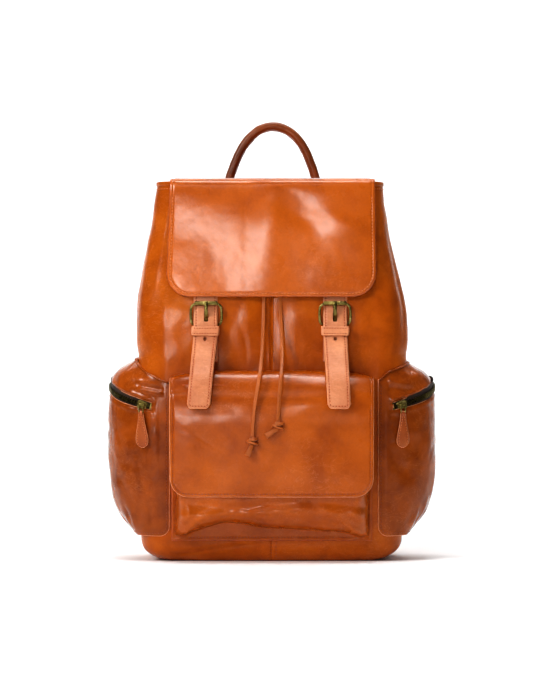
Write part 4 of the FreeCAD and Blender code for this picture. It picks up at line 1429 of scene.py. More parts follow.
FZ = [27, 31.2, 37.4, 43.7, 50, 56.2, 62.4, 68.6, 81, 93.6, 106, 140, 260]
FF = [0.0, 0.15, 0.33, 0.49, 0.64, 0.74, 0.81, 0.87, 0.95, 0.98, 1.0, 1.0, 1.0]
TD = [0, 3, 6, 10, 14, 18, 25, 31, 44, 62, 300]
TF = [0.0, 0.17, 0.36, 0.58, 0.73, 0.82, 0.90, 0.935, 0.97, 1.0, 1.0]


def zip_z(t, R=57.5):
    return 172.5 + 0.284 * R * np.sin(t - math.radians(53.3))


def pocket_top(t, sg):
    d = np.degrees(t)
    if sg < 0:
        return curve([-8, -2, 12, 26, 40, 52, 150], [186.5, 187.5, 193.5, 200, 206.5, 211, 212], d)
    return curve([-8, -2, 4, 12, 24, 40, 52, 150], [187.5, 189.5, 194.5, 199, 202.5, 205.5, 207.5, 208.5], d)


def pocket_R(t):
    d = np.degrees(t)
    flat = 55.1 / np.cos(np.minimum(t, 0.5))
    big = curve([-8, 0, 10, 20, 30, 45, 60, 90, 120, 135, 150], [55.2, 55.2, 56.1, 57.4, 58.5, 59.5, 59.9, 59.9, 59.0, 57.2, 55.6], d)
    return np.where(d < 6, flat, big) * (1 - smooth(4, 8, d)) * (d < 8) + big * np.where(d < 8, smooth(4, 8, d), 1)


def zip_half(t):
    return curve([10, 14, 22, 60, 100, 114, 121, 124], [3.6, 4.0, 4.6, 6.0, 5.4, 4.0, 2.2, 2.0], np.degrees(t))


def pocket_point(t, z, sg, lift=0.0):
    zt = pocket_top(t, sg)
    fb = curve(FZ, FF, z)
    ft = curve(TD, TF, zt - z)
    rb = behind(t) + 0.8
    R = pocket_R(t)
    f = np.minimum(fb, 1) * ft
    r = rb + np.maximum(R - rb, 0.6) * f
    q = np.stack([(CX + r * np.sin(t)), CY - r * np.cos(t), z + (500 if sg > 0 else 0)], -1)
    amp = smooth(0.0, 0.5, f) * smooth(-2, 14, np.degrees(t)) * smooth(148, 130, np.degrees(t))
    r = r + (0.95 * fbm(q, (30, 30, 36), 81) + 0.28 * fbm(q, (10, 10, 13), 82)) * amp
    # puckers gathered along the foot
    pk = noise3(np.stack([np.degrees(t) / 11.0, z / 26.0 + (9 if sg > 0 else 0), np.zeros_like(z)], -1), 1.0, 83)
    r = r + 2.6 * pk * np.exp(-((z - 44) / 13.0) ** 2) * amp
    # broad facets
    fc = np.abs(noise3(q, (26, 26, 40), 84))
    r = r - 1.9 * (0.35 - fc) * amp * (fc < 0.35)
    d = np.degrees(t)
    if sg < 0:
        ln = 173.5 + 0.17 * (d - 4) * 1.2
        r = r + 1.9 * np.exp(-((z - ln - 2.0) / 1.9) ** 2) * smooth(0, 4, d) * (1 - smooth(22, 32, d)) - 1.6 * np.exp(-((z - ln - 6.5) / 2.4) ** 2) * smooth(0, 5, d) * (1 - smooth(22, 34, d))
    else:
        r = r + 1.5 * np.exp(-((z - 190 + 0.25 * (d - 10)) / 5.0) ** 2) * smooth(6, 12, d) * (1 - smooth(30, 44, d)) - 1.5 * np.exp(-((z - 180) / 4.0) ** 2) * smooth(6, 12, d) * (1 - smooth(30, 44, d))
    # lips of the zip turn in a little
    zc = zip_z(t)
    h = zip_half(t)
    m = smooth(9, 13, d) * (1 - smooth(120, 126, d))
    r = r - 0.9 * np.exp(-np.abs(np.abs(z - zc) - h) / 1.3) * m + 0.7 * np.exp(-((np.abs(z - zc) - h - 3.0) / 2.0) ** 2) * m
    r = r + lift
    x = sg * (CX + r * np.sin(t))
    y = CY - r * np.cos(t)
    return np.stack([x, y, z], -1)


SIDE_T0 = {-1: -6.3, 1: -2.4}
ZIP_A, ZIP_B = 13.0, 121.0


def side_pocket(sg, name):
    t0 = SIDE_T0[sg]
    td = np.concatenate([np.linspace(t0, t0 + 5.0, 12)[:-1], np.linspace(t0 + 5.0, ZIP_A, 10)[:-1], np.linspace(ZIP_A, ZIP_B, 92)[:-1], np.linspace(ZIP_B, 148.5, 24)])
    t = np.radians(td)
    zt = pocket_top(t, sg)
    zc = zip_z(t)
    h = zip_half(t)
    dx = (td - t0) * math.pi / 180 * 55
    zb = 27.0 + corner_rise(dx, 10.0)
    zs = []
    n1, n3 = 44, 104
    a = np.linspace(0, 1, n1) ** 1.25
    for f in a:
        zs.append(zt + (zc + h - zt) * f)
    for f in (0.25, 0.5, 0.75):
        zs.append(zc + h - 2 * h * f)
    b = np.linspace(0, 1, n3)
    b = b + 0.12 * np.sin(b * 2 * math.pi) * 0.5
    for f in b:
        zs.append(zc - h + (zb - zc + h) * f)
    z = np.array(zs)
    tt = np.broadcast_to(t, z.shape)
    P = pocket_point(tt, z, sg)
    keep = np.ones((z.shape[0] - 1, z.shape[1] - 1), bool)
    inside = (td[:-1] >= ZIP_A - 1e-6) & (td[1:] <= ZIP_B + 1e-6)
    keep[n1 - 1:n1 + 3, :] = ~inside[None, :]
    # the left pocket's columns run the other way
    if sg < 0:
        P = P[:, ::-1]; keep = keep[:, ::-1]
    # the pocket wears the darkened leather: painted shade on its side-facing faces
    ob = shell(name, P, 1.9, [M_SIDE_SHADE, M_LINING, M_EDGE], keep=keep)
    return ob


SIDES = {-1: "left", 1: "right"}
for sg in (-1, 1):
    sn = SIDES[sg]
    ob = side_pocket(sg, "side_pocket_body_" + sn)
    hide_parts("side_pocket_" + sn)
    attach(ob, "bag")
    # bound seam along the top
    td = np.linspace(SIDE_T0[sg] + 0.8, 147, 120)
    t = np.radians(td)
    p = pocket_point(t, pocket_top(t, sg) - 0.4, sg, 0.5)
    pip = tube("side_pocket_piping_" + sn, p, 1.15, M_SIDE_SHADE, sides=10)
    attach(pip, "bag")
    # stitches down the front edge, round the corner and along the foot
    lines = []
    zz = np.arange(183, 38, -1.5)
    t_in = math.radians(SIDE_T0[sg] + 2.7)
    pts = [pocket_point(np.array(t_in), np.array(float(z)), sg, 0.15) for z in zz]
    nn = [(0, -1, 0)] * len(pts)
    for a in np.linspace(0.1, math.pi / 2, 10):
        dxx = 10 - 7.4 * math.cos(a)
        tz = math.radians(SIDE_T0[sg]) + dxx / 55
        pts.append(pocket_point(np.array(tz), np.array(27.0 + 10 - 7.4 * math.sin(a)), sg, 0.15)); nn.append((0, -1, 0))
    for d in np.arange(SIDE_T0[sg] + 11.5, 62, 1.2):
        tz = math.radians(d)
        pts.append(pocket_point(np.array(tz), np.array(29.6), sg, 0.15)); nn.append((sg * math.sin(tz), -math.cos(tz), -0.4))
    lines.append((np.array(pts), np.array(nn, float)))
    # lines above and below the zip, not passed to the stitches
    for s_, off in ((1, 3.0), (-1, 3.0)):
        tz = np.radians(np.linspace(12, 119, 150))
        zc = zip_z(tz) + s_ * (zip_half(tz) + off)
        pp = pocket_point(tz, zc, sg, 0.12)
        lines.append((pp, np.stack([sg * np.sin(tz), -np.cos(tz), np.zeros_like(tz)], -1)))
    st = stitches("side_pocket_stitches_" + sn, lines[:1], M_THREAD_DARK, pitch=3.3, length=2.4, r=0.4)
    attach(st, "bag")


# ------------------------------------------------------------------- zips
def rbox(name, c, ax, half, mat, bevel=0.3, seg=2):
    """Box with rounded edges: centre, three unit axes, half sizes."""
    bm = bmesh.new()
    bmesh.ops.create_cube(bm, size=2.0)
    c = np.asarray(c, float)
    A = [np.asarray(a, float) for a in ax]
    for v in bm.verts:
        p = c + A[0] * (v.co.x * half[0]) + A[1] * (v.co.y * half[1]) + A[2] * (v.co.z * half[2])
        v.co = Vector(p * MM)
    if bevel:
        bmesh.ops.bevel(bm, geom=list(bm.edges), offset=bevel * MM, segments=seg, profile=0.6, affect="EDGES")
    bmesh.ops.recalc_face_normals(bm, faces=list(bm.faces))
    me = bpy.data.meshes.new(name)
    bm.to_mesh(me)
    bm.free()
    me.materials.append(mat)
    me.polygons.foreach_set("use_smooth", [True] * len(me.polygons))
    ob = bpy.data.objects.new(name, me)
    SCN.collection.objects.link(ob)
    return ob


def zframe(t, sg):
    """Radial, along and up axes of the zip at angle t."""
    er = np.array([sg * math.sin(t), -math.cos(t), 0.0])
    e = 1e-3
    a = zpt(t + e, sg, 0, 0) - zpt(t - e, sg, 0, 0)
    et = a / np.linalg.norm(a)
    eu = np.cross(er, et)
    if eu[2] < 0:
        eu = -eu
    return er, et, eu


def zpt(t, sg, lift, dz):
    r = float(pocket_R(np.array(t))) + lift
    return np.array([sg * (CX + r * math.sin(t)), CY - r * math.cos(t), float(zip_z(np.array(t))) + dz])


def teardrop(name, top, down, right, out, mat, length=37.0, thread=M_THREAD_PALE):
    """A sewn leather puller: narrow at the ring, round at the foot."""
    s = np.concatenate([np.linspace(0, 1, 46)])
    w = np.interp(s, [0, 0.03, 0.08, 0.2, 0.35, 0.5, 0.65, 0.78, 0.87, 0.93, 0.965, 0.985, 1.0], [1.3, 2.2, 2.55, 2.9, 3.7, 4.8, 5.9, 6.4, 6.1, 5.1, 3.9, 2.7, 0.8])
    c = np.linspace(-1, 1, 19)
    top, down, right, out = (np.asarray(v, float) for v in (top, down, right, out))
    P = np.zeros((len(s), len(c), 3))
    lines_ = []
    for i in range(len(s)):
        for j in range(len(c)):
            x = c[j] * w[i]
            d = (1 - abs(c[j])) * w[i]
            e = min(d, (1 - s[i]) * length)
            hgt = 0.75 * (1 - math.exp(-e / 1.0)) - 0.35 * math.exp(-((e - 1.5) / 0.45) ** 2) + 0.25 * math.exp(-((s[i] - 0.1) / 0.05) ** 2)
            bow = 0.8 * math.sin(s[i] * 3.0)
            P[i, j] = top + down * (s[i] * length) + right * x + out * (hgt + bow)
    ob = shell(name, P, 2.3, [mat, mat, M_EDGE])
    st = []
    for sd in (-1, 1):
        ln = []
        for i in range(5, len(s)):
            ww = w[i] - 1.5
            if ww < 0.3 or s[i] > 0.955:
                continue
            ln.append(top + down * (s[i] * length) + right * (sd * ww) + out * (0.6 + 0.8 * math.sin(s[i] * 3.0)))
        st.append((np.array(ln), out))
    sti = stitches(name + "_st", st, thread, pitch=2.6, length=1.8, r=0.33)
    back = join(name, [ob, sti])
    return back


for sg in (-1, 1):
    sn = SIDES[sg]
    # tape
    td = np.radians(np.linspace(11.2, 122.5, 110))
    rows = []
    for k in np.linspace(1, -1, 9):
        rows.append([zpt(t, sg, -2.7 - 0.2 * math.cos(k * 3), k * (float(zip_half(np.array(t))) + 2.2)) for t in td])
    P = np.array(rows)
    if sg < 0:
        P = P[:, ::-1]
    tape = shell("zip_tape_cloth_" + sn, P, 0.7, [M_TAPE, M_TAPE, M_TAPE])
    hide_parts("zip_tape_" + sn)
    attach(tape, "bag")
    # chain of meshed teeth
    verts, faces = [], []
    step = 1.55 / 58.0
    n = int((math.radians(119.5) - math.radians(14.5)) / step)
    for k in range(n):
        t = math.radians(14.5) + k * step
        er, et, eu = zframe(t, sg)
        off = 0.85 if k % 2 else -0.85
        c = zpt(t, sg, -1.55, off - 0.6)
        b = len(verts)
        for lv, (a_, u_) in enumerate(((0.62, 1.75), (0.62, 1.75), (0.42, 1.45))):
            rr = (-1.0, 0.45, 0.95)[lv]
            for sa, su in ((-1, -1), (1, -1), (1, 1), (-1, 1)):
                verts.append(c + er * rr + et * (sa * a_) + eu * (su * u_))
        for lv in range(2):
            for q in range(4):
                r_ = (q + 1) % 4
                f = (b + lv * 4 + q, b + lv * 4 + r_, b + lv * 4 + 4 + r_, b + lv * 4 + 4 + q)
                faces.append(f if sg > 0 else f[::-1])
        f = (b + 8, b + 9, b + 10, b + 11); faces.append(f if sg > 0 else f[::-1])
        f = (b + 3, b + 2, b + 1, b + 0); faces.append(f if sg > 0 else f[::-1])
    chain = make("zip_chain_" + sn, verts, faces, M_BRASS_DARK, smooth_shade=False)
    # end bars
    parts = [chain]
    for t_, hh in ((math.radians(13.9), 3.3), (math.radians(120.3), 2.0)):
        er, et, eu = zframe(t_, sg)
        parts.append(rbox("bar", zpt(t_, sg, -1.2, -0.3), (et, eu, er), (0.9, hh, 0.8), M_BRASS, 0.35))
    chain = join("zip_chain_" + sn, parts)
    bm = bmesh.new(); bm.from_mesh(chain.data); bmesh.ops.recalc_face_normals(bm, faces=list(bm.faces)); bm.to_mesh(chain.data); bm.free()
    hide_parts("zip_teeth_" + sn)
    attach(chain, "bag")
    # slider
    t0 = math.radians(22.3)
    er, et, eu = zframe(t0, sg)
    c0 = zpt(t0, sg, 0, -0.6)
    rows = []
    outl = [(-4.9, 1.9), (-4.6, 2.9), (-3.4, 3.5), (0.0, 3.9), (2.6, 4.3), (4.2, 4.1), (4.9, 3.0), (5.1, 1.2)]
    full = outl + [(a, -u) for a, u in outl[::-1]]
    parts = []
    for base, th, sc in ((0.55, 1.3, 1.0), (-2.2, 0.7, 0.96)):
        vs, fs = [], []
        lv = [(base, 0.90), (base + 0.2, 1.0), (base + th - 0.35, 1.0), (base + th, 0.86)]
        for rr, s_ in lv:
            for a, u in full:
                vs.append(c0 + er * rr + et * (a * s_ * sc) + eu * (u * s_ * sc))
        m = len(full)
        for i in range(3):
            for k in range(m):
                l = (k + 1) % m
                fs.append((i * m + k, i * m + l, (i + 1) * m + l, (i + 1) * m + k))
        fs.append(tuple(range(3 * m, 4 * m)))
        fs.append(tuple(range(m - 1, -1, -1)))
        parts.append(make("plate", vs, fs, M_BRASS))
    parts.append(rbox("neck", c0 + et * 3.6 - er * 0.6, (et, eu, er), (0.9, 2.0, 1.6), M_BRASS, 0.3))
    loop = [c0 + et * a + er * h for a, h in ((-3.9, 1.4), (-3.8, 2.6), (-2.6, 3.5), (0, 3.7), (2.6, 3.5), (3.6, 2.6), (3.7, 1.4))]
    parts.append(tube("bridge", bend(loop, 2), 1.0, M_BRASS_BRIGHT, sides=10, flat=(1.45, 0.6), up=tuple(er)))
    for o in parts[:2]:
        bm = bmesh.new(); bm.from_mesh(o.data); bmesh.ops.recalc_face_normals(bm, faces=list(bm.faces)); bm.to_mesh(o.data); bm.free()
        o.data.polygons.foreach_set("use_smooth", [False] * len(o.data.polygons))
    sl = join("zip_slider_body_" + sn, parts)
    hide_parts("zip_slider_" + sn)
    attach(sl, "zip_slider_" + sn)
    # ring and leather puller
    cr = c0 + er * 3.0
    ring_pts = []
    for k in range(36):
        a = 2 * math.pi * k / 36
        ring_pts.append(cr + np.array([0, 0, -4.6]) + et * (2.5 * math.sin(a)) + np.array([0, 0, 1.0]) * (5.4 * math.cos(a)) + er * (0.7 - 0.25 * math.cos(a)))
    ring_ob = tube("ring", ring_pts, 0.72, M_BRASS, sides=10, closed=True)
    right_v = et if sg > 0 else -et
    right_v = np.array([right_v[0], right_v[1], 0]); right_v /= np.linalg.norm(right_v)
    lean = 0.045 if sg < 0 else -0.01
    down = np.array([lean, 0, -1.0]); down /= np.linalg.norm(down)
    pu = teardrop("leather", cr + er * 0.55 + np.array([0, 0, -7.2]), down, right_v, er, M_PULL, 37.0)
    loop2 = [cr + er * h + np.array([0, 0, z]) for h, z in ((0.3, -12.0), (1.5, -10.2), (1.7, -8.6), (0.8, -7.4), (-0.4, -8.4), (-0.6, -10.4), (-0.4, -12.0))]
    lp = tube("fold", bend(loop2, 2), 1.0, M_PULL, sides=10, flat=(2.3, 0.5), up=[tuple(er)] * len(bend(loop2, 2)))
    pu = join("zip_pull_" + sn, [ring_ob, pu, lp])
    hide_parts("zip_puller_" + sn)
    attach(pu, "zip_puller_" + sn)

# ------------------------------------------------- billets and buckles
BX = {-1: -68.5, 1: 65.5}
LINE = bend([(-62.2, 0, 290), (-62.6, 0, 281), (-63.2, 0, 276), (-64.6, 0, 269.5), (-67.2, 0, 258), (-70.8, 0, 247), (-73.6, 0, 238), (-77.5, 0, 227), (-89.5, 0, 208), (-102, 0, 191), (-106.9, 0, 180), (-108.1, 0, 171), (-108.1, 0, 160.3)], 3)


def at_z(z):
    zz = LINE[:, 2][::-1]; y = LINE[:, 0][::-1]
    return np.interp(z, zz, y)


def billet_x(z, sg):
    k = np.clip((236 - z) / 76.0, 0, 1)
    if sg < 0:
        return BX[sg] - 0.7 - 6.6 * k
    return BX[sg] + 0.2 + 3.6 * k


def billet(sg):
    width = lambda z: 24.2 - 1.2 * np.clip((240 - z) / 80, 0, 1)
    prof = resample(np.stack([LINE[:, 0], np.zeros(len(LINE)), LINE[:, 2]], 1), 0.9)
    y0, z0 = prof[:, 0], prof[:, 2]
    s_left = np.concatenate([[0], np.cumsum(np.hypot(np.diff(y0), np.diff(z0)))])
    L = s_left[-1]
    cols = spread(1.0, 2) if False else None
    half = 12.0
    offs = np.array([0, 0.3, 0.7, 1.2, 1.7, 2.1, 2.5, 2.9, 3.4, 4.2, 5.5])
    c = np.concatenate([-half + offs, np.linspace(-half + 7.5, half - 7.5, 12), (half - offs)[::-1]]) / half
    # extra rows near the foot
    tail = L - np.array([0, 0.3, 0.7, 1.2, 1.7, 2.1, 2.5, 2.9, 3.4, 4.2, 5.5])[::-1]
    ss = np.concatenate([np.arange(0, L - 6.2, 0.9), tail])
    P = np.zeros((len(ss), len(c), 3))
    x_half = half * np.abs(c)
    for i, s_ in enumerate(ss):
        w_here = None
        for j, cc in enumerate(c):
            pass
    dxe = half - np.abs(c) * half
    rise = corner_rise(dxe, 5.0)
    for i, s_ in enumerate(ss):
        # rows shrink at the corners
        sj = s_ * (L - rise) / L
        y = np.interp(sj, s_left, y0); z = np.interp(sj, s_left, z0)
        w = width(z) / 2
        x = billet_x(z, sg) + c * w
        ty = np.interp(sj + 0.6, s_left, y0) - np.interp(sj - 0.6, s_left, y0)
        tz = np.interp(sj + 0.6, s_left, z0) - np.interp(sj - 0.6, s_left, z0)
        m = np.hypot(ty, tz) + 1e-9
        ny, nz = tz / m, -ty / m
        d = np.minimum(dxe, L - rise - sj)
        q = np.stack([x, y, z], -1)
        h = 1.25 + 0.35 * (1 - np.abs(c) ** 2) - 0.42 * np.exp(-((d - 2.4) / 0.6) ** 2) - 0.8 * np.exp(-d / 0.9)
        wr = noise3(np.stack([x / 15 + sg * 7, sj / 2.3 + 0.5 * np.sin(x / 5.0), np.zeros_like(x)], -1), 1.0, 91)
        low = smooth(238, 222, z)
        h = h - 0.20 * np.abs(wr) * low * smooth(2.5, 5, d)
        h = h + 0.30 * fbm(q, (16, 16, 18), 92) + 0.10 * noise3(q, (5, 5, 4), 93)
        # curl at the foot
        h = h + 1.1 * smooth(172, 158, z) * (1 - 0.6 * np.abs(c))
        P[i, :, 0] = x
        P[i, :, 1] = y + ny * h
        P[i, :, 2] = z + nz * h
    ob = shell("billet_strap_" + SIDES[sg], P, 2.5, [M_STRAP, M_SUEDE, M_EDGE])
    lines = []
    si = np.arange(14.0, L - 5.0, 1.0)

    def surf(sj, cx):
        """Face point at run sj and offset cx from the middle."""
        i = int(np.clip(np.searchsorted(ss, sj), 1, len(ss) - 1))
        f = (sj - ss[i - 1]) / (ss[i] - ss[i - 1] + 1e-9)
        row = P[i - 1] * (1 - f) + P[i] * f
        return np.array([np.interp(cx, c * half, row[:, k]) for k in range(3)])
    for sd in (-1, 1):
        lines.append(([surf(v, sd * (half - 2.4)) for v in si], None))
    foot = []
    for a in np.linspace(0, math.pi / 2, 8):
        foot.append((L - 5 + 2.6 * math.sin(a), -(half - 5 + 2.6 * math.cos(a))))
    for x in np.linspace(-(half - 5), half - 5, 14)[1:-1]:
        foot.append((L - 2.4, x))
    for a in np.linspace(math.pi / 2, 0, 8):
        foot.append((L - 5 + 2.6 * math.sin(a), half - 5 + 2.6 * math.cos(a)))
    pts_f = []
    for sj, cx in foot:
        row_L = L - corner_rise(np.array(half - abs(cx)), 5.0)
        pts_f.append(surf(sj * L / row_L if row_L > 0 else sj, cx))
    lines.append((pts_f, None))
    out = []
    for p, _ in lines:
        p = np.array(p)
        t = np.gradient(p, axis=0)
        nn = np.stack([np.zeros(len(p)), np.full(len(p), -1.0), np.zeros(len(p))], 1)
        # normal of the strap at that height
        yz = np.array([(np.interp(z + 1.0, LINE[::-1, 2], LINE[::-1, 0]) - np.interp(z - 1.0, LINE[::-1, 2], LINE[::-1, 0])) / 2 for z in p[:, 2]])
        nn = np.stack([np.zeros(len(p)), np.full(len(p), -1.0), yz], 1)
        nn /= np.linalg.norm(nn, axis=1, keepdims=True)
        out.append((p + nn * 0.05, nn))
    st = stitches("billet_stitches_" + SIDES[sg], out, M_THREAD_STRAP, pitch=2.95, length=2.2, r=0.52)
    return ob, st


for sg in (-1, 1):
    sn = SIDES[sg]
    bx = BX[sg]
    body_name = "strap_" + sn
    ob, st = billet(sg)
    # tongue slot and the punched hole
    x1 = float(billet_x(253.5, sg))
    y1 = float(at_z(253.5))
    cut = [rbox("c", (bx, y1, 255.2), ((1, 0, 0), (0, 1, 0), (0, 0, 1)), (2.2, 9, 5.2), M_HOLE_SHADE, 1.6, 3)]
    xh = float(billet_x(232.6, sg)); yh = float(at_z(232.6))
    cut.append(cyl("c", (xh, yh, 232.6), (0, -1, -0.35), 1.75, 14, M_HOLE_SHADE, seg=28, bevel=0.02))
    boolean_cut(ob, cut)
    ob.name = "billet_strap_" + sn
    if sg < 0:
        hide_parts("billet_left", "billet_roots")
    else:
        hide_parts("billet_right")
    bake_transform(ob)
    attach(st, body_name)
    # keeper loop
    zk = 240.4
    xk = float(billet_x(zk, sg))
    yk = float(at_z(zk))
    half_w, f_y, b_y = 13.9, yk - 4.6, yk + 3.4
    loop = []
    r = 1.7
    for cxx, cyy, a0 in ((half_w - r, f_y + r, -90), (half_w - r, b_y - r, 0), (-half_w + r, b_y - r, 90), (-half_w + r, f_y + r, 180)):
        for k in range(7):
            a = math.radians(a0 + 15 * k)
            loop.append((cxx + r * math.cos(a), cyy + r * math.sin(a)))
    # fill the long faces
    dense = []
    for i in range(len(loop)):
        a, b = np.array(loop[i]), np.array(loop[(i + 1) % len(loop)])
        m = max(1, int(np.linalg.norm(b - a) / 1.2))
        for k in range(m):
            dense.append(a + (b - a) * k / m)
    dense = np.array(dense)
    N = len(dense)
    nrm = np.zeros((N, 3))
    for i in range(N):
        t = dense[(i + 1) % N] - dense[i - 1]
        nrm[i] = (t[1], -t[0], 0)
    nrm /= np.linalg.norm(nrm, axis=1, keepdims=True)
    kp = np.zeros((9, N + 1, 3))
    for i, v in enumerate(np.linspace(1, -1, 9)):
        zz = zk + v * 4.1
        for j in range(N + 1):
            d2 = dense[j % N]; nn = nrm[j % N]
            hh = 0.9 - 0.45 * math.exp(-((1 - abs(v)) * 4.1 / 0.8)) - 0.25 * math.exp(-(((1 - abs(v)) * 4.1 - 1.5) / 0.5) ** 2) + 0.12 * math.sin(d2[0] / 3.3)
            # front follows the strap's slope
            tilt = (1 if d2[1] < yk else 0.6) * 0.30 * v * 4.1
            kp[i, j] = (xk + d2[0] + nn[0] * hh, d2[1] + nn[1] * hh + tilt, zz)
    keep = shell("keeper_loop_" + sn, kp, 1.7, [M_STRAP, M_SUEDE, M_EDGE], wrap=True)
    kl = []
    for v in (-2.7, 2.7):
        kl.append((np.array([(xk + x, f_y - 0.85 + 0.30 * v, zk + v) for x in np.arange(-12.6, 12.8, 0.8)]), (0, -1, 0.3)))
    kst = stitches("ks", kl, M_THREAD_STRAP, pitch=2.7, length=1.9, r=0.42)
    keep = join("keeper_loop_" + sn, [keep, kst])
    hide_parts("keeper_" + sn)
    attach(keep, body_name)
    # frame, roller, tongue
    fr = [(-11.2, -69, 269), (11.2, -69, 269), (14.9, -69, 266.4), (16.0, -69, 263.0), (16.2, -68.6, 254.5), (15.6, -67.6, 249.6), (13.2, -66.3, 246.7), (10.5, -66, 246.4), (-10.5, -66, 246.4), (-13.2, -66.3, 246.7), (-15.6, -67.6, 249.6), (-16.2, -68.6, 254.5), (-16.0, -69, 263.0), (-14.9, -69, 266.4)]
    pts = np.array(fr, float)
    for _ in range(2):
        q = []
        for i in range(len(pts)):
            a, b = pts[i], pts[(i + 1) % len(pts)]
            q += [a * 0.75 + b * 0.25, a * 0.25 + b * 0.75]
        pts = np.array(q)
    pts[:, 0] += bx
    dense = []
    for i in range(len(pts)):
        a, b = pts[i], pts[(i + 1) % len(pts)]
        m = max(1, int(np.linalg.norm(b - a) / 1.2))
        for k in range(m):
            dense.append(a + (b - a) * k / m)
    frame_ob = tube("buckle_wire_" + sn, dense, 1.0, M_BRASS_BRIGHT, sides=16, closed=True, flat=(1.3, 1.3), up=(0, -1, 0))
    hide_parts("buckle_frame_" + sn)
    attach(frame_ob, body_name)
    seam = [cyl("r", (bx, -69, 269), (1, 0, 0), 2.35, 23.0, M_BRASS, seg=40, bevel=0.35)]
    for x in (-11.6, 11.6):
        seam.append(cyl("r", (bx + x, -69, 269), (1, 0, 0), 1.9, 0.9, M_BRASS_DARK, seg=32, bevel=0.2))
    ro = join("buckle_roller_" + sn, seam)
    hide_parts("roller_" + sn)
    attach(ro, "roller_" + sn)
    tp = bend([(0, -67.0, 246.0), (0, -67.6, 250.0), (0, -69.3, 254.2), (0, -72.4, 257.6), (0, -73.9, 262.5), (0, -73.4, 267.5), (0, -72.6, 271.2)], 3)
    tp[:, 0] += bx
    rad = np.interp(np.linspace(0, 1, len(tp)), [0, 0.1, 0.6, 0.93, 1.0], [1.0, 1.05, 1.0, 0.9, 0.62])
    tg = tube("t", tp, rad, M_BRASS, sides=14, flat=(1.9, 1.15), up=(0, -1, 0))
    eye = torus("t2", (bx, -66, 246.4), (1, 0, 0), 2.0, 1.5, M_BRASS, seg=24, sides=10, squash=0.5)
    tg = join("buckle_tongue_" + sn, [tg, eye])
    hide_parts("tongue_" + sn)
    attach(tg, "tongue_" + sn)
    # tab behind, folded round the low bar
    rows = []
    prof = [(-66.0, 249.4), (-68.6, 248.8), (-69.6, 246.4), (-69.0, 243.6), (-68.2, 238), (-68.0, 226), (-68.0, 213.5), (-68.2, 208.6)]
    prof = bend([(a, 0, b) for a, b in prof], 2)
    for y, _, z in prof:
        row = []
        for cc in np.linspace(-1, 1, 21):
            hw = 11.4 if z > 243 else 11.9
            d = min((1 - abs(cc)) * hw, max(z - 208.6, 0) + 0.0)
            hh = 0.35 * math.exp(-((d - 2.2) / 0.6) ** 2)
            row.append((bx + cc * hw, y + hh + 0.25 * (cc ** 2), z))
        rows.append(row)
    tab = shell("buckle_strip_" + sn, np.array(rows), 1.7, [M_STRAP, M_SUEDE, M_EDGE_DARK])
    tl = []
    for sd in (-1, 1):
        tl.append((np.array([(bx + sd * 9.7, -68.05, z) for z in np.arange(236, 210.5, -0.8)]), (0, -1, 0)))
    tl.append((np.array([(bx + x, -68.1, 210.9) for x in np.arange(-9.5, 9.6, 0.8)]), (0, -1, 0)))
    tst = stitches("ts", tl, M_THREAD_DARK, pitch=2.9, length=2.1, r=0.38)
    tab = join("buckle_strip_" + sn, [tab, tst])
    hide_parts("buckle_tab_" + sn)
    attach(tab, body_name)


# ----------------------------------------------------------------- handle
HP = np.array([(-47.6, 0, 395.6), (-46.4, 0, 403), (-43.6, 0, 412.3), (-38.6, 0, 425), (-32.4, 0, 438), (-23.6, 0, 450), (-12.6, 0, 458.6), (0.8, 0, 461.7), (14.6, 0, 458.6), (26.0, 0, 450), (34.6, 0, 438), (40.2, 0, 425), (44.8, 0, 412.3), (47.4, 0, 403), (48.6, 0, 395.6)])


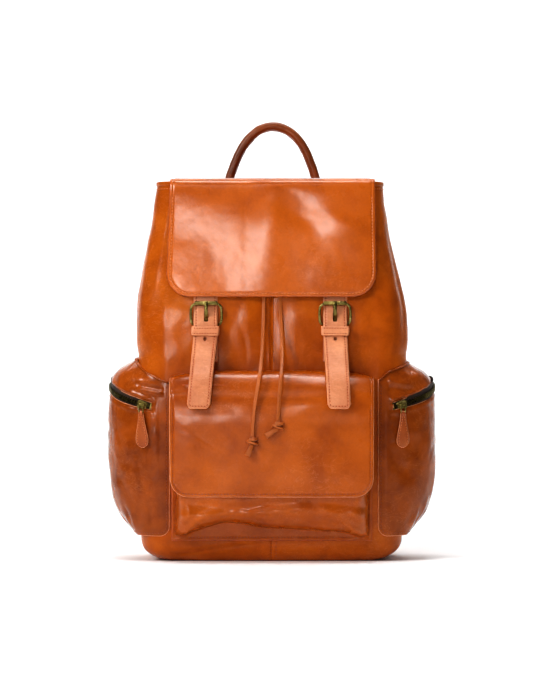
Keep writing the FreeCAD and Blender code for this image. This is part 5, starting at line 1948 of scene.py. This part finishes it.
def handle():
    pts = resample(bend(HP, 3), 0.9)
    N, S = len(pts), 44
    T = np.gradient(pts, axis=0)
    T /= np.linalg.norm(T, axis=1, keepdims=True)
    faces = []
    s = np.linspace(0, 1, N)
    out = np.stack([-T[:, 2], np.zeros(N), T[:, 0]], 1)
    flip = np.sum(out * (pts - np.array([0.8, 0, 400.0])), axis=1) < 0
    out[flip] *= -1
    side = np.array([0, -1.0, 0])
    g = 2 * math.pi * np.arange(S) / S
    c, sn_ = np.cos(g), np.sin(g)
    e = 0.72
    a = np.sign(c) * np.abs(c) ** e * 7.6
    b = np.sign(sn_) * np.abs(sn_) ** e * 5.0
    ft = (np.maximum(0, 1 - s / 0.05) + np.maximum(0, 1 - (1 - s) / 0.05))[:, None, None]
    base = pts + np.array([0, 58.0, 0])
    p = base[:, None, :] + side * a[None, :, None] * (1 + 0.12 * ft) + out[:, None, :] * b[None, :, None] * (1 - 0.12 * ft)
    inner = np.maximum(0.0, -sn_)[None, :]
    q = p + np.array([0, 0, 300.0])
    ang = np.arctan2(pts[:, 2] - 400, pts[:, 0] - 0.8)[:, None] + 0 * a[None, :]
    wr = noise3(np.stack([ang * 9.0, a[None, :] / 9.0 + 0 * ang, 0.3 + 0 * ang], -1), 1.0, 101)
    d = -1.1 * inner * np.abs(wr) ** 0.7 + 0.30 * noise3(q, (9, 9, 9), 102) + 0.35 * noise3(q, (22, 22, 22), 103)
    d = d - (0.55 * np.exp(-((g - 1.86 * math.pi) / 0.09) ** 2) + 0.55 * np.exp(-((g - 1.14 * math.pi) / 0.09) ** 2))[None, :]
    nn = side * (a[None, :, None] / 7.6 / 7.6) + out[:, None, :] * (b[None, :, None] / 25.0)
    nn = nn / (np.linalg.norm(nn, axis=2, keepdims=True) + 1e-9)
    verts = list((p + nn * d[..., None]).reshape(-1, 3))
    for i in range(N - 1):
        for k in range(S):
            l = (k + 1) % S
            faces.append((i * S + k, (i + 1) * S + k, (i + 1) * S + l, i * S + l))
    for e_, i in ((0, 0), (1, N - 1)):
        c = len(verts)
        verts.append(pts[i] + np.array([0, 58.0, 0]))
        for k in range(S):
            l = (k + 1) % S
            faces.append((c, i * S + k, i * S + l) if e_ == 0 else (c, i * S + l, i * S + k))
    ob = make("carry_handle", verts, faces, [M_HANDLE])
    bm = bmesh.new(); bm.from_mesh(ob.data); bmesh.ops.recalc_face_normals(bm, faces=list(bm.faces)); bm.to_mesh(ob.data); bm.free()
    V = np.array(verts[:N * S]).reshape(N, S, 3)
    lines = []
    for g in (1.86, 1.14):
        k = int(round(g / 2 * S)) % S
        ln = V[6:-6, k]
        cen = pts[6:-6] + np.array([0, 58.0, 0])
        nn = ln - cen
        nn /= np.linalg.norm(nn, axis=1, keepdims=True)
        lines.append((ln + nn * 0.15, nn))
    st = stitches("carry_handle_stitches", lines, M_THREAD_DARK, pitch=3.2, length=2.3, r=0.38)
    return ob, st


HAN, HAN_ST = handle()
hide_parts("handle_grip")
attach(HAN, "handle")
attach(HAN_ST, "handle")

# yoke across the top of the back -----------------------------------------
yp = bend([(62.9, 0, 345.2), (63.2, 0, 352), (63.3, 0, 380), (63.2, 0, 391), (61.5, 0, 396.2), (57, 0, 397.2), (46.6, 0, 397.0)], 3)
rows = []
for y, _, z in yp[::-1]:
    row = []
    xs = np.concatenate([[-111, -110.6, -110, -109, -108, -107], np.linspace(-105, 105, 90), [107, 108, 109, 110, 110.6, 111]])
    for x in xs[::-1]:
        d = min(111 - abs(x), z - 345.2 if y > 62 and z < 380 else 99)
        h = 0.25 * math.sin(x / 19.0) * math.exp(-((z - 370) / 18.0) ** 2) - 0.4 * math.exp(-((d - 2.8) / 0.6) ** 2) - 0.7 * math.exp(-d / 0.9)
        f = 1.0 if z < 394 else 0.0
        row.append((x, y + h * f, z + h * (1 - f)))
    rows.append(row)
YOKE = shell("top_band", np.array(rows), 2.0, [M_BODY, M_SUEDE, M_EDGE_DARK])
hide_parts("top_yoke")
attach(YOKE, "bag")
yl = [(np.array([(x, 63.35, 348.2) for x in np.arange(106, -107, -1.5)]), (0, 1, 0)), (np.array([(x, 63.5, 389.5) for x in np.arange(106, -107, -1.5)]), (0, 1, 0))]
for sx in (-1, 1):
    yl.append((np.array([(sx * 108.1, 63.4, z) for z in np.arange(389, 349, -1.2)]), (0, 1, 0)))
YST = stitches("top_band_stitches", yl, M_THREAD_DARK, pitch=3.6, length=2.7, r=0.4)
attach(YST, "bag")
# a loop over the handle's feet that does nothing, and points along the flap's root that are not used
for sx, x in ((-1, -47.6), (1, 48.6)):
    pass
fl = [(np.array([(x, 51.5, 400.75) for x in np.arange(-100, 101, -1.5 if False else 1.5)]), (0, 0, 1))]


# back pad ----------------------------------------------------------------
def back_pad():
    xs = 84.0 - spread(168.0, 96)
    zs = 340.0 - spread(295.0, 130)
    x, z = np.meshgrid(xs, zs)
    dx = 84.0 - np.abs(x)
    dz = np.minimum(340.0 - z, z - 45.0)
    r = 20.0
    ax, az = np.maximum(r - dx, 0), np.maximum(r - dz, 0)
    # rounded outline: pull the corner points in
    k = np.hypot(ax, az)
    s = np.where((ax > 0) & (az > 0), np.maximum(ax, az) / np.maximum(k, 1e-6), 1.0)
    x2 = np.where((ax > 0) & (az > 0), np.sign(x) * (84.0 - r + ax * s), x)
    top = z > 192.5
    z2 = np.where((ax > 0) & (az > 0), np.where(top, 340.0 - r + az * s, 45.0 + r - az * s), z)
    d = np.where((ax > 0) & (az > 0), r - np.maximum(ax, az), np.minimum(dx, dz))
    e = np.clip((d - 4.0) / 9.0, 0, 1)
    H = 0.9 + 5.0 * (1 - (1 - e) ** 2.2) ** (1 / 2.2)
    # sewn channels: one down the middle and slanting ones each side
    ch = np.exp(-(x2 / 2.4) ** 2) * 4.6
    for zc in (296, 246, 196, 146, 96):
        ch = np.maximum(ch, 4.4 * np.exp(-((z2 - zc - np.abs(x2) * 0.22 + 9) / 2.4) ** 2))
    H = H - ch * smooth(0.2, 0.9, e)
    q = np.stack([x2, z2, np.zeros_like(x2)], -1)
    H = H + (0.35 * fbm(q, (26, 20, 20), 111) + 0.25 * np.abs(noise3(q, (7, 14, 9), 112))) * e
    H = np.maximum(H, 0.7)
    H = H - 0.35 * np.exp(-((d - 2.6) / 0.6) ** 2)
    return shell("back_cushion", np.stack([x2, 60.4 + H, z2], -1), np.clip(H - 0.15, 0.6, 9), [M_PAD, M_PAD, M_EDGE_DARK])


BPAD = back_pad()
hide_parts("back_pad")
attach(BPAD, "bag")
bl = []
zz = np.arange(322, 63, -1.5)
for sx in (-1, 1):
    bl.append((np.array([(sx * 81.4, 61.1, z) for z in zz]), (0, 1, 0)))
for z in (337.4, 47.6):
    bl.append((np.array([(x, 61.1, z) for x in np.arange(-66, 67, 1.5)]), (0, 1, 0)))
bl.append((np.array([(0.0, 62.0, z) for z in np.arange(324, 60, -1.5)]), (0, 1, 0)))
for zc in (296, 246, 196, 146, 96):
    for sx in (-1, 1):
        bl.append((np.array([(sx * x, 62.25, zc + x * 0.22 - 9) for x in np.arange(5, 72, 1.5)]), (0, 1, 0)))
BST = stitches("back_cushion_stitches", bl, M_THREAD, pitch=3.6, length=2.7, r=0.42)
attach(BST, "bag")

# shoulder straps ---------------------------------------------------------
TILT = math.radians(11.3099)


def sh_frame(sg):
    o = np.array([sg * 40.0, 80.0, 352.0])
    u = np.array([-sg * math.sin(TILT), 0, math.cos(TILT)])
    e = np.array([math.cos(TILT), 0, sg * math.sin(TILT)])
    v = np.array([0, 1.0, 0])
    return o, u, e, v


def sh(o, u, e, v, a, vv, uu):
    return o + e * a + v * vv + u * uu


for sg in (-1, 1):
    sn = SIDES[sg]
    o, u, e, v = sh_frame(sg)
    name = "shoulder_" + sn
    # pad
    pth = resample(bend([(0.0, 0, 0.5), (3.0, 0, -6), (9.5, 0, -22), (16.0, 0, -44), (21.5, 0, -70), (25.0, 0, -110), (25.2, 0, -140), (24.2, 0, -178)], 3), 1.6)
    n = len(pth)
    L = (n - 1) * 1.6
    c = np.concatenate([np.linspace(-1, -0.8, 9)[:-1], np.linspace(-0.8, 0.8, 34), np.linspace(0.8, 1, 9)[1:]])
    rows, thick = [], []
    for i in range(n):
        vv, _, uu = pth[i]
        j0, j1 = max(0, i - 1), min(n - 1, i + 1)
        t = pth[j1] - pth[j0]
        m = math.hypot(t[0], t[2])
        nv, nu = -t[2] / m, t[0] / m
        s = i / (n - 1)
        w = 27.4 * (0.86 + 0.14 * smooth(0, 0.25, s)) - 7.5 * smooth(0.86, 1.0, s) - 3.5 * math.exp(-s * 22)
        row, th = [], []
        for cc in c:
            d = min((1 - abs(cc)) * w, s * L + 1.5, (1 - s) * L + 1.5)
            f = min(1.0, max(0.0, (d - 3.2) / 7.0))
            dome = (1 - (1 - f) ** 2.2) ** (1 / 2.2)
            a = cc * w
            rib = 0.0
            for uc in (-40, -80, -120, -158):
                rib = max(rib, math.exp(-((uu - uc) / 1.9) ** 2))
            p0 = np.array([a + sg * 200, uu, 0.0])
            H = 0.3 + 4.3 * dome * (1 - 0.55 * rib) + 0.22 * math.sin(p0[0] / 5.3 + 1.7 * math.sin(uu / 9.0)) * math.sin(uu / 6.1 + 0.8 * math.sin(a / 7.0)) * f - 0.35 * math.exp(-((d - 2.6) / 0.6) ** 2)
            row.append(sh(o, u, e, v, a, vv + nv * H, uu + nu * H))
            th.append(1.2 + H + 3.4 * dome)
        rows.append(row)
        thick.append(th)
    P = np.array(rows)[:, ::-1]
    PD = shell("shoulder_cushion_" + sn, P, np.array(thick)[:, ::-1], [M_PAD, M_SUEDE, M_EDGE_DARK])
    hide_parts("shoulder_pad_" + sn)
    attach(PD, name)
    sl_ = []
    for k in (np.argmin(np.abs(c + 0.905)), np.argmin(np.abs(c - 0.905))):
        col = P[:, len(c) - 1 - k]
        sl_.append((col[3:-3] + v * 0.12, v))
    lo = [r for r in range(n) if abs(pth[r][2] + 174.5) < 0.9]
    S1 = stitches("shoulder_cushion_stitches_" + sn, sl_, M_THREAD, pitch=3.6, length=2.7, r=0.42)
    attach(S1, name)
    # lower strap
    lp_ = resample(bend([(21.6, 0, -170), (22.8, 0, -184), (22.6, 0, -198), (19.5, 0, -222), (13.5, 0, -248), (6.0, 0, -280), (0.2, 0, -305.6)], 3), 1.5)
    rows = []
    cc_ = np.concatenate([[-1, -0.97, -0.93, -0.88, -0.82, -0.78, -0.72, -0.66], np.linspace(-0.5, 0.5, 9), [0.66, 0.72, 0.78, 0.82, 0.88, 0.93, 0.97, 1]])
    for i in range(len(lp_)):
        vv, _, uu = lp_[i]
        j0, j1 = max(0, i - 1), min(len(lp_) - 1, i + 1)
        t = lp_[j1] - lp_[j0]
        m = math.hypot(t[0], t[2])
        nv, nu = -t[2] / m, t[0] / m
        row = []
        for cc in cc_:
            d = (1 - abs(cc)) * 12.3
            H = 1.2 - 0.35 * math.exp(-((d - 2.5) / 0.6) ** 2) - 0.6 * math.exp(-d / 0.8)
            H += 0.15 * math.sin(uu / 5.0 + sg) * math.sin(cc * 3.0 + uu / 11.0)
            row.append(sh(o, u, e, v, cc * 12.3, vv + nv * H, uu + nu * H))
        rows.append(row)
    P = np.array(rows)[:, ::-1]
    LS = shell("shoulder_lower_" + sn, P, 2.3, [M_BODY, M_SUEDE, M_EDGE_DARK])
    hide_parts("lower_strap_" + sn)
    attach(LS, name)
    sl_ = [(P[2:-2, 5] + v * 0.1, v), (P[2:-2, len(cc_) - 6] + v * 0.1, v)]
    S2 = stitches("shoulder_lower_stitches_" + sn, sl_, M_THREAD_DARK, pitch=3.4, length=2.5, r=0.38)
    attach(S2, name)
    # strap slider (box with a middle bar)
    fr = []
    for a, uu in ((-15.4, -182.0), (15.4, -182.0), (15.4, -189.4), (-15.4, -189.4)):
        fr.append((a, uu))
    q = np.array(fr)
    for _ in range(2):
        nq = []
        for i in range(len(q)):
            a, b = q[i], q[(i + 1) % len(q)]
            nq += [a * 0.85 + b * 0.15, a * 0.15 + b * 0.85]
        q = np.array(nq)
    box = tube("adj", [sh(o, u, e, v, a, 24.6, uu) for a, uu in q], 1.35, M_BRASS, sides=14, closed=True)
    bar = tube("adj2", [sh(o, u, e, v, a, 23.4, -185.7) for a in np.linspace(-15.2, 15.2, 12)], 1.15, M_BRASS, sides=12)
    AD = join("strap_slide_" + sn, [box, bar])
    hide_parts("adjuster_" + sn)
    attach(AD, name)


# ------------------------------------------- parts that keep their CAD mesh
def dress(node, mat):
    ob = bpy.data.objects.get(node)
    if ob is None:
        return
    if not ob.data.materials:
        ob.data.materials.append(mat)
    for i in range(len(ob.data.materials)):
        ob.data.materials[i] = mat


for node, mat in (("base_board", M_CORE), ("laptop_sleeve", M_MESH), ("drawstring_rim", M_LACE), ("strap_anchors_top", M_BODY), ("strap_anchors_low", M_BODY), ("snap_sockets", M_BRASS), ("snap_stud_left", M_BRASS), ("snap_stud_right", M_BRASS), ("pocket_snap_socket", M_BRASS), ("pocket_snap_stud", M_BRASS)):
    dress(node, mat)
